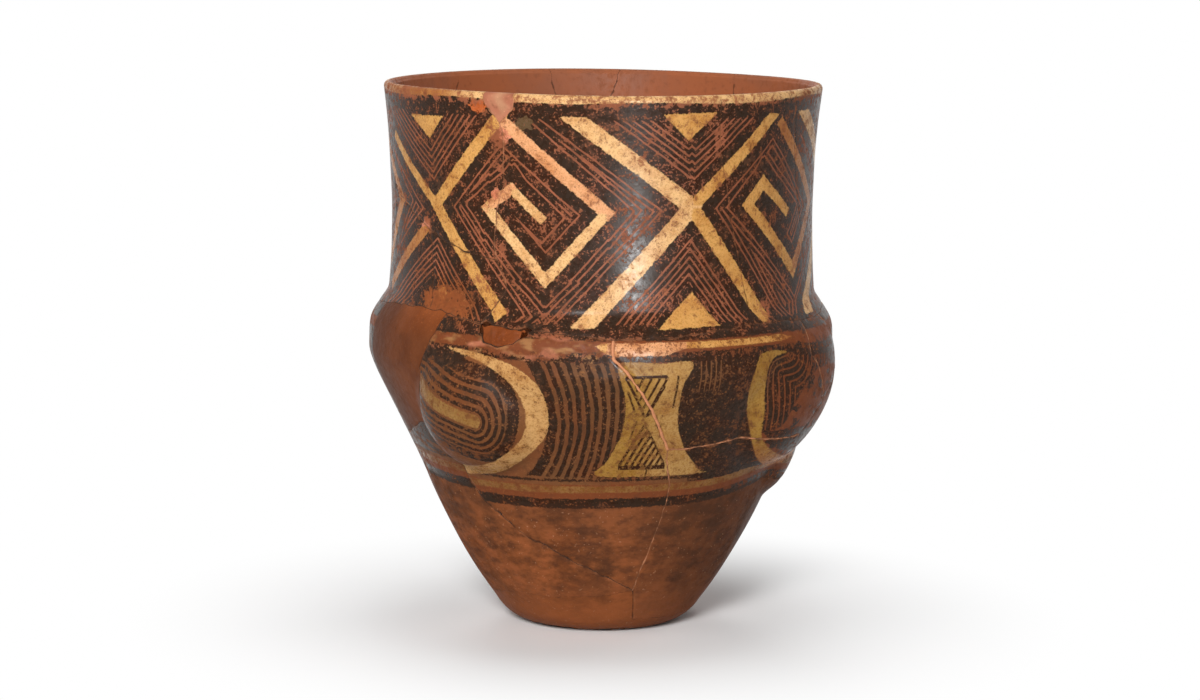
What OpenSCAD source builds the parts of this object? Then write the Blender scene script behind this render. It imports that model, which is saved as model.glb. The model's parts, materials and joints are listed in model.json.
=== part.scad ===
// Painted clay pot, put together again from its sherds.
// Millimetres. The pot rests on z = 0, its axis is Z and its shown side faces -Y.

/* [Vessel] */
// Height from the resting face to the rim
height = 372; // [340:1:400]
// Outer radius at the rim
rim_r = 150; // [140:0.5:160]
// Outer radius at the waist of the neck
neck_r = 144.5; // [136:0.5:150]
// Height where the neck meets the shoulder
neck_foot_z = 234; // [222:1:244]
// Outer radius at the widest ring of the belly
belly_r = 160; // [152:0.5:168]
// Height of the widest ring of the belly
belly_z = 190; // [182:1:198]
// Height of the line that ends the painted belly
belly_foot_z = 97; // [88:1:106]
// Outer radius of the wall at that line
belly_foot_r = 118; // [110:0.5:126]
// Radius of the flat resting face
base_r = 50; // [42:0.5:58]
// Radius of the wall just above the rounded foot
foot_r = 72; // [66:0.5:78]
// Height of the rounded foot
foot_z = 15; // [11:0.5:20]

/* [Wall] */
// Wall thickness at the rim
rim_wall = 6; // [4:0.1:8]
// Wall thickness of the neck
neck_wall = 7; // [5:0.1:9]
// Wall thickness of the belly
belly_wall = 9; // [7:0.1:11]
// Thickness of the floor
floor_wall = 12; // [9:0.1:15]
// Points along each curve of the wall
curve_steps = 5; // [3:1:8]

/* [Lugs] */
// Angles of the lugs around the pot, 0 at the shown side and rising to the right
lug_angles = [-36, 65, 150, 238];
// Height of the wall point that a lug is set on
lug_z = 155; // [148:1:162]
// Radius of a lug where it leaves the wall
lug_r = 41; // [34:0.5:46]
// Height of a lug above the wall
lug_h = 17; // [10:0.5:22]
// How square the shoulder of a lug is
lug_square = 2.6; // [2:0.1:4]
// Angle that a lug points down from level
lug_lean = 25; // [10:1:35]

/* [Joins] */
// Width of the mended joins between the sherds
join_gap = 0.8; // [0.4:0.1:1.6]

/* [Hidden] */
// Heights that the break map is drawn at, bottom to top
drawn_z = [97, 190, 234, 372];
// Drawn height that clears the rim
over = 392;
// How far a cutter reaches in from the wall and out from it
reach_in = 26;
reach_out = 95;
$fn = 96;

// Curve through four control points
function bend(a, b, c, d, n) = [for (i = [0 : n - 1]) let (t = i / n, u = 1 - t)
    u * u * u * a + 3 * u * u * t * b + 3 * u * t * t * c + t * t * t * d];
// Slope of the lower wall, radius gained for each unit of height
wall_slope = (belly_foot_r - foot_r) / (belly_foot_z - foot_z);
wall_lean = atan(wall_slope);
belly_rise = belly_z - belly_foot_z;
shoulder_rise = neck_foot_z - belly_z;
neck_rise = height - neck_foot_z;
neck_foot_r = neck_r + 2;
shoulder_r = (belly_r + neck_foot_r) / 2;
shoulder_z = belly_z + 0.68 * shoulder_rise;
lip = rim_wall / 2;
// Outside of the wall from the resting face to the start of the lip
outside = concat(
    bend([base_r, 0], [base_r + 9, 0], [foot_r - 7 * wall_slope, foot_z - 7], [foot_r, foot_z],
        curve_steps),
    bend([foot_r, foot_z],
        [foot_r + 0.44 * (belly_foot_r - foot_r), foot_z + 0.33 * (belly_foot_z - foot_z)],
        [belly_foot_r - 0.26 * (belly_foot_r - foot_r), belly_foot_z - 0.33 * (belly_foot_z - foot_z)],
        [belly_foot_r, belly_foot_z], curve_steps),
    bend([belly_foot_r, belly_foot_z],
        [belly_foot_r + 0.38 * (belly_r - belly_foot_r), belly_foot_z + 0.42 * belly_rise],
        [belly_r - 1, belly_z - 0.15 * belly_rise], [belly_r, belly_z], 2 * curve_steps),
    bend([belly_r, belly_z], [belly_r, belly_z + 0.42 * shoulder_rise],
        [shoulder_r + 0.16 * shoulder_rise, shoulder_z - 0.24 * shoulder_rise],
        [shoulder_r, shoulder_z], curve_steps),
    bend([shoulder_r, shoulder_z],
        [shoulder_r - 0.12 * shoulder_rise, shoulder_z + 0.18 * shoulder_rise],
        [neck_foot_r, neck_foot_z - 0.12 * shoulder_rise], [neck_foot_r, neck_foot_z], curve_steps),
    bend([neck_foot_r, neck_foot_z], [neck_r - 1, neck_foot_z + 0.28 * neck_rise],
        [neck_r - 0.5, height - 0.40 * neck_rise], [rim_r, height - lip], curve_steps + 2));
wall_at = [[0, floor_wall], [foot_z, floor_wall], [belly_foot_z, belly_wall + 1],
    [belly_z, belly_wall], [neck_foot_z, neck_wall + 1], [height - 0.4 * neck_rise, neck_wall],
    [height, rim_wall]];
// Direction square to the outside at one of its points, into the wall
function inward(i) = let (a = outside[max(0, i - 1)], b = outside[min(len(outside) - 1, i + 1)],
    d = (b - a) / norm(b - a)) [-d.y, d.x];
inside_from = curve_steps;
inside = [for (i = [inside_from : len(outside) - 1])
    outside[i] + lookup(outside[i].y, wall_at) * inward(i)];
floor_edge = [inside[0].x - 8, floor_wall];
// Half round of the lip
lip_round = [for (a = [0 : 30 : 180])
    [rim_r - lip + lip * cos(a), height - lip + lip * sin(a)]];

// Break map
// A drawn height carried to the present size
function at(h) = lookup(h, [[0, 0], [drawn_z[0], belly_foot_z], [drawn_z[1], belly_z],
    [drawn_z[2], neck_foot_z], [drawn_z[3], height], [over, height + over - drawn_z[3]]]);
radius_table = [for (p = outside) [p.y, p.x]];
function wall_radius(z) = lookup(z, radius_table);
function ease(t) = let (k = min(1, max(0, t))) k * k * (3 - 2 * k);
// How far a break leans down from level, as the wall does
function lean(z) = wall_lean * ease((belly_z + 10 - z) / (belly_z + 10 - belly_foot_z));
function ray(p, d) = let (z = at(p.y), r = wall_radius(z) + d * cos(lean(z)))
    [r * sin(p.x), -r * cos(p.x), z - d * sin(lean(z))];
function back(line) = [for (i = [len(line) - 1 : -1 : 0]) line[i]];
function part_of(line, a, b) = [for (i = [a : b]) line[i]];
function turned(line, a) = [for (p = line) [p.x + a, p.y]];
// Joins break lines end to end, each giving up its last point to the next
function loop_of(lines) = [for (l = lines) for (i = [0 : len(l) - 2]) l[i]];
function middle(loop) = [for (k = [0, 1]) (max([for (p = loop) p[k]]) + min([for (p = loop) p[k]])) / 2];
function left_of(d) = [-d.y, d.x] / norm(d);
// Draws a loop in by half a join, measured on the wall
function drawn_in(loop, g) = let (n = len(loop)) [for (i = [0 : n - 1]) let (
    p = loop[i], k = wall_radius(at(p.y)) * PI / 180,
    a = p - loop[(i + n - 1) % n], b = loop[(i + 1) % n] - p,
    u = left_of([a.x * k, a.y]), v = left_of([b.x * k, b.y]),
    m = (u + v) * g / max(0.5, 1 + u * v)) [p.x + m.x / k, p.y + m.y]];
function before(p, q) = p.x < q.x || (p.x == q.x && p.y < q.y);

// Wedge of space that one sherd is cut with
module wedge(loop, heart) {
    n = len(loop);
    small = drawn_in(loop, join_gap / 2);
    points = concat([for (p = small) ray(p, reach_out)], [for (p = small) ray(p, -reach_in)],
        [ray(heart, reach_out + 20), ray(heart, -reach_in - 20)]);
    faces = [for (i = [0 : n - 1]) let (j = (i + 1) % n)
        each [[2 * n, j, i], [2 * n + 1, n + i, n + j],
            before(loop[i], loop[j]) ? [i, j, n + i] : [i, j, n + j],
            before(loop[i], loop[j]) ? [j, n + j, n + i] : [i, n + j, n + i]]];
    polyhedron(points, faces, 4);
}

// Lump of clay set on the wall and smoothed into it
module lug(a) {
    steps = 10;
    skirt = 1.2;
    rise = [for (i = [0 : steps]) let (q = skirt * i / steps)
        [lug_r * q, lug_h * (1 - pow(q, lug_square))]];
    r = wall_radius(lug_z);
    translate([r * sin(a), -r * cos(a), lug_z])
        rotate([0, 0, a])
            rotate([90 + lug_lean, 0, 0])
                rotate_extrude()
                    polygon(concat([[0, -lug_h], [skirt * lug_r, -lug_h]], back(rise)));
}

// Wall of the pot with the lugs that stand between two angles
module wall(low, high) {
    difference() {
        union() {
            rotate_extrude()
                polygon(concat([[0, 0]], outside, part_of(lip_round, 0, 3), [[0, height]]));
            for (a = lug_angles)
                for (t = [a - 360, a, a + 360])
                    if (t > low - 22 && t < high + 22) lug(a);
        }
        rotate_extrude()
            polygon(concat([[0, floor_wall], floor_edge], inside,
                back(part_of(lip_round, 3, 6)), [[rim_r - lip, height + 40], [0, height + 40]]));
    }
}

// Breaks of the neck, each from the top down
fill_left = [[-31, over], [-31, 365], [-27, 352]];
fill_right = [[-23, over], [-23, 362], [-27, 352]];
neck_a = [[-27, 352], [-26, 332], [-26, 312], [-28, 297], [-29, 277], [-28, 262]];
neck_a_low = [[-28, 262], [-25, 245], [-31, 221]];
neck_b = [[31, over], [31, 350], [32, 330], [34, 315], [36, 285], [39, 255], [42, 221]];
neck_c = [[58, over], [60, 342], [62, 315], [68, 275], [70, 250], [73, 219]];
neck_d = [[100, over], [103, 335], [98, 285], [101, 220]];
neck_e = [[140, over], [138, 340], [144, 292], [141, 252], [145, 221]];
neck_f = [[175, over], [177, 355], [185, 318]];
neck_g = [[196, over], [194, 352], [185, 318]];
neck_f_low = [[185, 318], [181, 282], [187, 250], [184, 219]];
neck_h = [[225, over], [229, 342], [224, 297], [230, 255], [228, 221]];
neck_i = [[256, over], [253, 340], [258, 290], [254, 250], [257, 219]];
neck_j = [[-75, over], [-77, 352], [-75, 302]];
neck_j_low = [[-75, 302], [-73, 262], [-75, 223]];
// Slanting break on the left of the neck, from left to right, and the one below it
neck_slant_left = [[-75, 302], [-62, 290], [-52, 277]];
neck_slant_right = [[-52, 277], [-43, 270], [-36, 265], [-28, 262]];
neck_k = [[-52, 277], [-50, 252], [-50, 226]];
// Break around the foot of the neck
neck_foot = [[-75, 223], [-62, 226], [-50, 226], [-43, 225], [-31, 221], [-18, 219], [3, 214],
    [25, 217], [42, 221], [60, 219], [73, 219], [87, 222], [101, 220], [123, 217], [145, 221],
    [172, 218], [184, 219], [209, 217], [228, 221], [243, 218], [257, 219], [264, 218],
    [275, 221], [285, 223]];
function foot(a, b) = part_of(neck_foot, a, b);

// Breaks of the belly, each from the top down or from left to right
chip_edge = [[-31, 221], [-29, 210], [-25, 207], [-21, 210], [-18, 219]];
fill_edge = [[-43, 225], [-44, 212], [-46, 202], [-49, 187], [-50, 165], [-53, 150]];
fill_low = [[-75, 134], [-63, 142], [-53, 150]];
fill_side = [[-75, 223], [-77, 165], [-75, 134]];
left_run = [[-53, 150], [-50, 138], [-46, 130], [-45, 112], [-42, 97], [-30, 76], [-14, 60],
    [-2, 49], [16, 33]];
main_run = [[3, 214], [3, 202], [6, 194], [9, 182], [13, 167], [16, 152], [19, 138]];
main_low = [[19, 138], [20, 127], [22, 112], [22, 98], [20, 72], [16, 33]];
right_run = [[19, 138], [25, 138], [45, 143], [55, 145], [62, 146]];
lug_left = [[60, 219], [58, 200], [67, 168]];
lug_right = [[73, 219], [80, 194], [67, 168]];
lug_low = [[67, 168], [62, 146]];
belly_a = [[62, 146], [66, 130], [70, 107]];
belly_b = [[101, 220], [106, 182], [104, 142], [108, 104]];
belly_c = [[172, 218], [174, 180], [170, 140], [173, 104]];
belly_d = [[209, 217], [207, 180], [212, 140], [208, 105]];
belly_e = [[264, 218], [259, 178], [265, 142], [262, 104]];
belly_f = [[-75, 134], [-74, 102]];
// Break between belly and lower wall on the hidden side
belly_foot = [[70, 107], [90, 100], [108, 104], [128, 98], [173, 104], [187, 99], [208, 105],
    [232, 99], [262, 104], [286, 102]];
function waist(a, b) = part_of(belly_foot, a, b);

// Breaks of the lower wall
lower_a = [[70, 107], [66, 62], [70, 9]];
lower_b = [[128, 98], [124, 60], [128, 14]];
lower_c = [[187, 99], [192, 58], [188, 14]];
lower_d = [[262, 104], [254, 60], [258, 16]];
lower_e = [[-74, 102], [-79, 60], [-76, 20]];
// Break around the base
base_ring = [[-76, 20], [-60, 24], [-42, 28], [-22, 27], [-5, 29], [16, 33], [20, 10], [45, 8],
    [70, 9], [100, 10], [128, 14], [157, 12], [188, 14], [222, 12], [258, 16], [284, 20]];
function ring(a, b) = part_of(base_ring, a, b);

// Outlines of the sherds, counter-clockwise as seen from outside
function top(a, b) = [[a, over], [b, over]];
neck_front_edge = loop_of([fill_right, neck_a, neck_a_low, foot(4, 8), back(neck_b), top(31, -23)]);
neck_right_edge = loop_of([neck_b, foot(8, 10), back(neck_c), top(58, 31)]);
neck_right_rear_edge = loop_of([neck_c, foot(10, 12), back(neck_d), top(100, 58)]);
neck_back_right_edge = loop_of([neck_d, foot(12, 14), back(neck_e), top(140, 100)]);
neck_back_edge = loop_of([neck_e, foot(14, 16), back(neck_f_low), back(neck_f), top(175, 140)]);
rim_back_chip_edge = loop_of([neck_f, back(neck_g), top(196, 175)]);
neck_back_left_edge = loop_of([neck_g, neck_f_low, foot(16, 18), back(neck_h), top(225, 196)]);
neck_left_back_edge = loop_of([neck_h, foot(18, 20), back(neck_i), top(256, 225)]);
neck_left_rear_edge = loop_of([neck_i, foot(20, 23), back(turned(neck_j_low, 360)),
    back(turned(neck_j, 360)), top(285, 256)]);
neck_left_upper_edge = loop_of([neck_j, neck_slant_left, neck_slant_right, back(neck_a),
    back(fill_left), top(-31, -75)]);
neck_left_lower_edge = loop_of([neck_j_low, foot(0, 2), back(neck_k), back(neck_slant_left)]);
neck_left_foot_edge = loop_of([neck_k, foot(2, 4), back(neck_a_low), back(neck_slant_right)]);
rim_fill_edge = loop_of([fill_left, back(fill_right), top(-23, -31)]);
shoulder_chip_edge = loop_of([chip_edge, back(foot(4, 5))]);
shoulder_fill_edge = loop_of([fill_side, fill_low, back(fill_edge), back(foot(0, 3))]);
belly_front_edge = loop_of([fill_edge, left_run, back(main_low), back(main_run), back(foot(5, 6)),
    back(chip_edge), back(foot(3, 4))]);
belly_right_edge = loop_of([main_run, right_run, back(lug_low), back(lug_left), back(foot(6, 9))]);
lug_chip_edge = loop_of([lug_left, back(lug_right), back(foot(9, 10))]);
belly_right_rear_edge = loop_of([lug_right, lug_low, belly_a, waist(0, 2), back(belly_b),
    back(foot(10, 12))]);
belly_back_right_edge = loop_of([belly_b, waist(2, 4), back(belly_c), back(foot(12, 15))]);
belly_back_edge = loop_of([belly_c, waist(4, 6), back(belly_d), back(foot(15, 17))]);
belly_back_left_edge = loop_of([belly_d, waist(6, 8), back(belly_e), back(foot(17, 21))]);
belly_left_rear_edge = loop_of([belly_e, waist(8, 9), back(turned(belly_f, 360)),
    back(turned(fill_side, 360)), back(foot(21, 23))]);
body_left_edge = loop_of([belly_f, lower_e, ring(0, 5), back(left_run), back(fill_low)]);
body_right_edge = loop_of([main_low, ring(5, 8), back(lower_a), back(belly_a), back(right_run)]);
lower_right_rear_edge = loop_of([lower_a, ring(8, 10), back(lower_b), back(waist(0, 3))]);
lower_back_right_edge = loop_of([lower_b, ring(10, 12), back(lower_c), back(waist(3, 5))]);
lower_back_left_edge = loop_of([lower_c, ring(12, 14), back(lower_d), back(waist(5, 8))]);
lower_left_rear_edge = loop_of([lower_d, ring(14, 15), back(turned(lower_e, 360)), back(waist(8, 9))]);

// One sherd of the wall, with a point of it that all its edge is seen from
module sherd(edge, heart) {
    angles = [for (p = edge) p.x];
    intersection() {
        wall(min(angles), max(angles));
        wedge(edge, heart);
    }
}

// Space below the break around the base
module dish() {
    n = len(base_ring) - 1;
    line = concat([[base_ring[n - 1].x - 360, base_ring[n - 1].y]], base_ring);
    low = [for (i = [1 : n]) let (p = line[i], k = wall_radius(at(p.y)) * PI / 180,
        a = p - line[i - 1], b = line[i + 1] - p,
        u = left_of([a.x * k, a.y]), v = left_of([b.x * k, b.y]),
        m = (u + v) * join_gap / 2 / max(0.5, 1 + u * v)) [p.x - m.x / k, p.y - m.y]];
    points = concat([for (p = low) ray(p, reach_out)], [for (p = low) ray(p, -reach_in)],
        [[0, 0, -120], [0, 0, belly_foot_z]]);
    faces = [for (i = [0 : n - 1]) let (j = (i + 1) % n)
        each [[2 * n, i, j], [2 * n + 1, n + j, n + i], [n + i, j, i], [n + i, n + j, j]]];
    polyhedron(points, faces, 4);
}

painted = "#6b4330";
plain = "#91553a";
plaster = "#a87650";
putty = "#c99768";

module neck_front() {
    color(painted) sherd(neck_front_edge, middle(neck_front_edge));
}

module neck_right() {
    color(painted) sherd(neck_right_edge, middle(neck_right_edge));
}

module neck_right_rear() {
    color(painted) sherd(neck_right_rear_edge, middle(neck_right_rear_edge));
}

module neck_back_right() {
    color(painted) sherd(neck_back_right_edge, middle(neck_back_right_edge));
}

module neck_back() {
    color(painted) sherd(neck_back_edge, middle(neck_back_edge));
}

module rim_back_chip() {
    color(painted) sherd(rim_back_chip_edge, middle(rim_back_chip_edge));
}

module neck_back_left() {
    color(painted) sherd(neck_back_left_edge, middle(neck_back_left_edge));
}

module neck_left_back() {
    color(painted) sherd(neck_left_back_edge, middle(neck_left_back_edge));
}

module neck_left_rear() {
    color(painted) sherd(neck_left_rear_edge, middle(neck_left_rear_edge));
}

module neck_left_upper() {
    color(painted) sherd(neck_left_upper_edge, middle(neck_left_upper_edge));
}

module neck_left_lower() {
    color(painted) sherd(neck_left_lower_edge, middle(neck_left_lower_edge));
}

module neck_left_foot() {
    color(painted) sherd(neck_left_foot_edge, middle(neck_left_foot_edge));
}

module rim_fill() {
    color(plaster) sherd(rim_fill_edge, middle(rim_fill_edge));
}

module shoulder_chip() {
    color(plaster) sherd(shoulder_chip_edge, middle(shoulder_chip_edge));
}

module shoulder_fill() {
    color(plaster) sherd(shoulder_fill_edge, middle(shoulder_fill_edge));
}

module belly_front() {
    color(painted) sherd(belly_front_edge, [-25, 150]);
}

module belly_right() {
    color(painted) sherd(belly_right_edge, middle(belly_right_edge));
}

module lug_chip() {
    color(painted) sherd(lug_chip_edge, middle(lug_chip_edge));
}

module belly_right_rear() {
    color(painted) sherd(belly_right_rear_edge, [92, 165]);
}

module belly_back_right() {
    color(painted) sherd(belly_back_right_edge, middle(belly_back_right_edge));
}

module belly_back() {
    color(painted) sherd(belly_back_edge, middle(belly_back_edge));
}

module belly_back_left() {
    color(painted) sherd(belly_back_left_edge, middle(belly_back_left_edge));
}

module belly_left_rear() {
    color(painted) sherd(belly_left_rear_edge, middle(belly_left_rear_edge));
}

module body_left() {
    color(plain) sherd(body_left_edge, [-55, 65]);
}

module body_right() {
    color(plain) sherd(body_right_edge, middle(body_right_edge));
}

module lower_right_rear() {
    color(plain) sherd(lower_right_rear_edge, middle(lower_right_rear_edge));
}

module lower_back_right() {
    color(plain) sherd(lower_back_right_edge, middle(lower_back_right_edge));
}

module lower_back_left() {
    color(plain) sherd(lower_back_left_edge, middle(lower_back_left_edge));
}

module lower_left_rear() {
    color(plain) sherd(lower_left_rear_edge, middle(lower_left_rear_edge));
}

module base_disc() {
    color(plain)
        intersection() {
            wall(500, 500);
            dish();
        }
}

// Putty left in the joins once every sherd is in place
module join_filler() {
    color(putty)
        difference() {
            wall(-60, 300);
            wedge(neck_front_edge, middle(neck_front_edge));
            wedge(neck_right_edge, middle(neck_right_edge));
            wedge(neck_right_rear_edge, middle(neck_right_rear_edge));
            wedge(neck_back_right_edge, middle(neck_back_right_edge));
            wedge(neck_back_edge, middle(neck_back_edge));
            wedge(rim_back_chip_edge, middle(rim_back_chip_edge));
            wedge(neck_back_left_edge, middle(neck_back_left_edge));
            wedge(neck_left_back_edge, middle(neck_left_back_edge));
            wedge(neck_left_rear_edge, middle(neck_left_rear_edge));
            wedge(neck_left_upper_edge, middle(neck_left_upper_edge));
            wedge(neck_left_lower_edge, middle(neck_left_lower_edge));
            wedge(neck_left_foot_edge, middle(neck_left_foot_edge));
            wedge(rim_fill_edge, middle(rim_fill_edge));
            wedge(shoulder_chip_edge, middle(shoulder_chip_edge));
            wedge(shoulder_fill_edge, middle(shoulder_fill_edge));
            wedge(belly_front_edge, [-25, 150]);
            wedge(belly_right_edge, middle(belly_right_edge));
            wedge(lug_chip_edge, middle(lug_chip_edge));
            wedge(belly_right_rear_edge, [92, 165]);
            wedge(belly_back_right_edge, middle(belly_back_right_edge));
            wedge(belly_back_edge, middle(belly_back_edge));
            wedge(belly_back_left_edge, middle(belly_back_left_edge));
            wedge(belly_left_rear_edge, middle(belly_left_rear_edge));
            wedge(body_left_edge, [-55, 65]);
            wedge(body_right_edge, middle(body_right_edge));
            wedge(lower_right_rear_edge, middle(lower_right_rear_edge));
            wedge(lower_back_right_edge, middle(lower_back_right_edge));
            wedge(lower_back_left_edge, middle(lower_back_left_edge));
            wedge(lower_left_rear_edge, middle(lower_left_rear_edge));
            dish();
        }
}

neck_front();
neck_right();
neck_right_rear();
neck_back_right();
neck_back();
rim_back_chip();
neck_back_left();
neck_left_back();
neck_left_rear();
neck_left_upper();
neck_left_lower();
neck_left_foot();
rim_fill();
shoulder_chip();
shoulder_fill();
belly_front();
belly_right();
lug_chip();
belly_right_rear();
belly_back_right();
belly_back();
belly_back_left();
belly_left_rear();
body_left();
body_right();
lower_right_rear();
lower_back_right();
lower_back_left();
lower_left_rear();
base_disc();
join_filler();
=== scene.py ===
import json
import math
import bpy
import numpy as np
from mathutils import Matrix, Vector, noise
from mathutils.geometry import delaunay_2d_cdt


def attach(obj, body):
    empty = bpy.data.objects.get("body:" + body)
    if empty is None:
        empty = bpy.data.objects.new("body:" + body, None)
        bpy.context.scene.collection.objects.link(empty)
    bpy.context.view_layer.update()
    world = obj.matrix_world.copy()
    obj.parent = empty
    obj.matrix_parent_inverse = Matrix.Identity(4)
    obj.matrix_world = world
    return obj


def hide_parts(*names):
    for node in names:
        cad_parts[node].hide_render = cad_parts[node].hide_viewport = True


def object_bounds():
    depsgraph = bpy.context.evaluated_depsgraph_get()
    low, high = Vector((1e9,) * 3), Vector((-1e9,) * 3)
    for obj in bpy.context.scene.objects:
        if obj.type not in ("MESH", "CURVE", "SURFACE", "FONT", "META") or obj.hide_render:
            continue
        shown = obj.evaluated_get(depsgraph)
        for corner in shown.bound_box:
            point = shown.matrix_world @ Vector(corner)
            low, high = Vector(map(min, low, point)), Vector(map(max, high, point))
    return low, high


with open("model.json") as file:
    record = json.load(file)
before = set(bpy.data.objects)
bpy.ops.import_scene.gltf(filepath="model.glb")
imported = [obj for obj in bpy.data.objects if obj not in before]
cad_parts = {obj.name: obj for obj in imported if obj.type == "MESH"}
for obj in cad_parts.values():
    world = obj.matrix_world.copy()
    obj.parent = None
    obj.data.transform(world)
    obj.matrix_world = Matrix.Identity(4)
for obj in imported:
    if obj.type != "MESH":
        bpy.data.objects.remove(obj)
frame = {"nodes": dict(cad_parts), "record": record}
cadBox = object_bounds()
slots = {row["node"]: row["material_slot"] for row in frame["record"]["subparts"]}
mm = 0.001
print("frame loaded,", len(frame["nodes"]), "nodes")

# Angles are in degrees from the shown side (-Y), rising to the right; heights and lengths are in mm
pot = {
    "height": cadBox[1][2] / mm, "rimR": 150, "lip": 3,
    "rimDip": 0.8, "dipZ": 330,     # the rim isn't quite level
    "neckR": 144.5, "neckFootZ": 234,
    "bellyR": cadBox[1][0] / mm, "bellyZ": 190, "bellyFootR": 118, "bellyFootZ": 97,
    "footR": 72, "footZ": 15, "baseR": 50, "dish": 0.5, "dishR": 40,     # the base is a little hollow below
    "wallZ": [0, 15, 97, 190, 234, 317, 372], "wall": [12, 12, 10, 9, 8, 7, 6],
    "wobble": 0.9, "trueTop": 20, "trueFoot": 12,     # the hand-made wall strays inwards, less near its ends
}
# Each lug is an angle, a height, a reach, a rise and a downward lean; the right one ends in a low tip
lugs = {
    "spots": [(-36, 155, 41, 17, 25), (65.2, 154.4, 45.9, 12.8, 28), (81, 114, 25.8, 7.5, 25),
              (150, 155, 41, 17, 25), (238, 155, 41, 17, 25)],
    "square": 2.6, "blend": 4, "far": 1.5, "deep": -60, "top": (198, 222),     # each runs out below the neck
}


def soften(value, low, high):
    s = np.clip((value - low) / (high - low), 0, 1)
    return s * s * (3 - 2 * s)


def window(value, low, full, drop, high):
    return soften(value, low, full) * soften(-value, -high, -drop)


def bend(a, b, c, d, steps=30):
    t = np.linspace(0, 1, steps + 1)[:-1, None]
    a, b, c, d = (np.array(p, float) for p in (a, b, c, d))
    return (1 - t) ** 3 * a + 3 * (1 - t) ** 2 * t * b + 3 * (1 - t) * t ** 2 * c + t ** 3 * d


def wallCurve():
    p = pot
    footR, footZ, bfR, bfZ = p["footR"], p["footZ"], p["bellyFootR"], p["bellyFootZ"]
    slope = (bfR - footR) / (bfZ - footZ)
    rise = p["bellyZ"] - bfZ
    step = p["neckFootZ"] - p["bellyZ"]
    neckRise = p["height"] - p["neckFootZ"]
    neckFootR = p["neckR"] + 2
    shoulderR = (p["bellyR"] + neckFootR) / 2
    shoulderZ = p["bellyZ"] + 0.68 * step
    top = [p["rimR"], p["height"] - p["lip"]]
    runs = [
        bend([p["baseR"], 0], [p["baseR"] + 9, 0], [footR - 7 * slope, footZ - 7], [footR, footZ]),
        bend([footR, footZ], [footR + 0.44 * (bfR - footR), footZ + 0.33 * (bfZ - footZ)],
             [bfR - 0.26 * (bfR - footR), bfZ - 0.33 * (bfZ - footZ)], [bfR, bfZ]),
        bend([bfR, bfZ], [bfR + 0.38 * (p["bellyR"] - bfR), bfZ + 0.42 * rise],
             [p["bellyR"] - 1, p["bellyZ"] - 0.15 * rise], [p["bellyR"], p["bellyZ"]]),
        bend([p["bellyR"], p["bellyZ"]], [p["bellyR"], p["bellyZ"] + 0.42 * step],
             [shoulderR + 0.16 * step, shoulderZ - 0.24 * step], [shoulderR, shoulderZ]),
        bend([shoulderR, shoulderZ], [shoulderR - 0.12 * step, shoulderZ + 0.18 * step],
             [neckFootR, p["neckFootZ"] - 0.12 * step], [neckFootR, p["neckFootZ"]]),
        bend([neckFootR, p["neckFootZ"]], [p["neckR"] - 1, p["neckFootZ"] + 0.28 * neckRise],
             [p["neckR"] - 0.5, p["height"] - 0.4 * neckRise], top),
        [top]]
    return np.vstack(runs)


curve = wallCurve()
lipZ = pot["height"] - pot["lip"]
topV = lipZ + pot["lip"] * math.pi / 2      # heights above lipZ run over the round lip
curveSlope = np.gradient(curve[:, 0]) / np.maximum(np.gradient(curve[:, 1]), 1e-4)


def wobble(theta, v):
    a = np.radians(theta)
    waves = np.sin(3 * a + v / 41) + np.sin(5 * a - v / 23 + 1) + 0.7 * np.sin(11 * a + v / 17 + 2)
    waves += 0.5 * np.sin(v / 7.3 + 4 * np.sin(2 * a))
    return pot["wobble"] * (0.5 + waves / 6.4)


def liftLugs(co, v, sink):
    for angle, high, reach, rise, lean in lugs["spots"]:
        e, turn = np.radians(lean), np.radians(angle)
        axis = np.array([np.sin(turn) * np.cos(e), -np.cos(turn) * np.cos(e), -np.sin(e)])
        foot = np.interp(high, curve[:, 1], curve[:, 0])
        arm = co - np.array([foot * np.sin(turn), -foot * np.cos(turn), high])
        along = arm @ axis
        rho = np.sqrt(np.maximum((arm ** 2).sum(-1) - along ** 2, 0))
        lift = rise * (1 - (rho / reach) ** lugs["square"]) - along - sink
        k = lugs["blend"]
        lift = np.where(lift > k, lift, np.maximum(lift + k, 0) ** 2 / (4 * k))
        lift = np.where((rho > reach * lugs["far"]) | (along < lugs["deep"]), 0, lift)
        lift = lift * soften(-v, -lugs["top"][1], -lugs["top"][0])
        co = co + lift[..., None] * axis
    return co


def wallPoints(theta, v, inner=False, sink=0.0):
    # points of the outer or inner face, sunk below it where asked
    theta, v = np.asarray(theta, float), np.asarray(v, float)
    a = np.radians(theta)
    r = np.interp(v, curve[:, 1], curve[:, 0])
    slope = np.interp(v, curve[:, 1], curveSlope)
    nr = 1 / np.sqrt(1 + slope ** 2)
    nz = -slope * nr
    freedom = np.clip((lipZ - v) / pot["trueTop"], 0.3, 1) * np.clip(v / pot["trueFoot"], 0, 1)
    depth = wobble(theta, v) * freedom + sink
    if inner:
        depth = depth + np.interp(v, pot["wallZ"], pot["wall"])
    phi = np.clip((v - lipZ) / pot["lip"], 0, math.pi / 2)
    side = -1 if inner else 1
    belowLip = v <= lipZ
    lipR = pot["lip"] - 0.3 - np.abs(sink)
    r = np.where(belowLip, r - depth * nr, pot["rimR"] - pot["lip"] + side * lipR * np.cos(phi))
    z = np.where(belowLip, v - depth * nz, lipZ + lipR * np.sin(phi))
    z = z - pot["rimDip"] * (0.5 + 0.5 * np.sin(3 * a + 0.8)) * np.clip((v - pot["dipZ"]) / 40, 0, 1)
    co = np.stack([r * np.sin(a), -r * np.cos(a), z], -1)
    return co if inner else liftLugs(co, v, sink)


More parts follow.
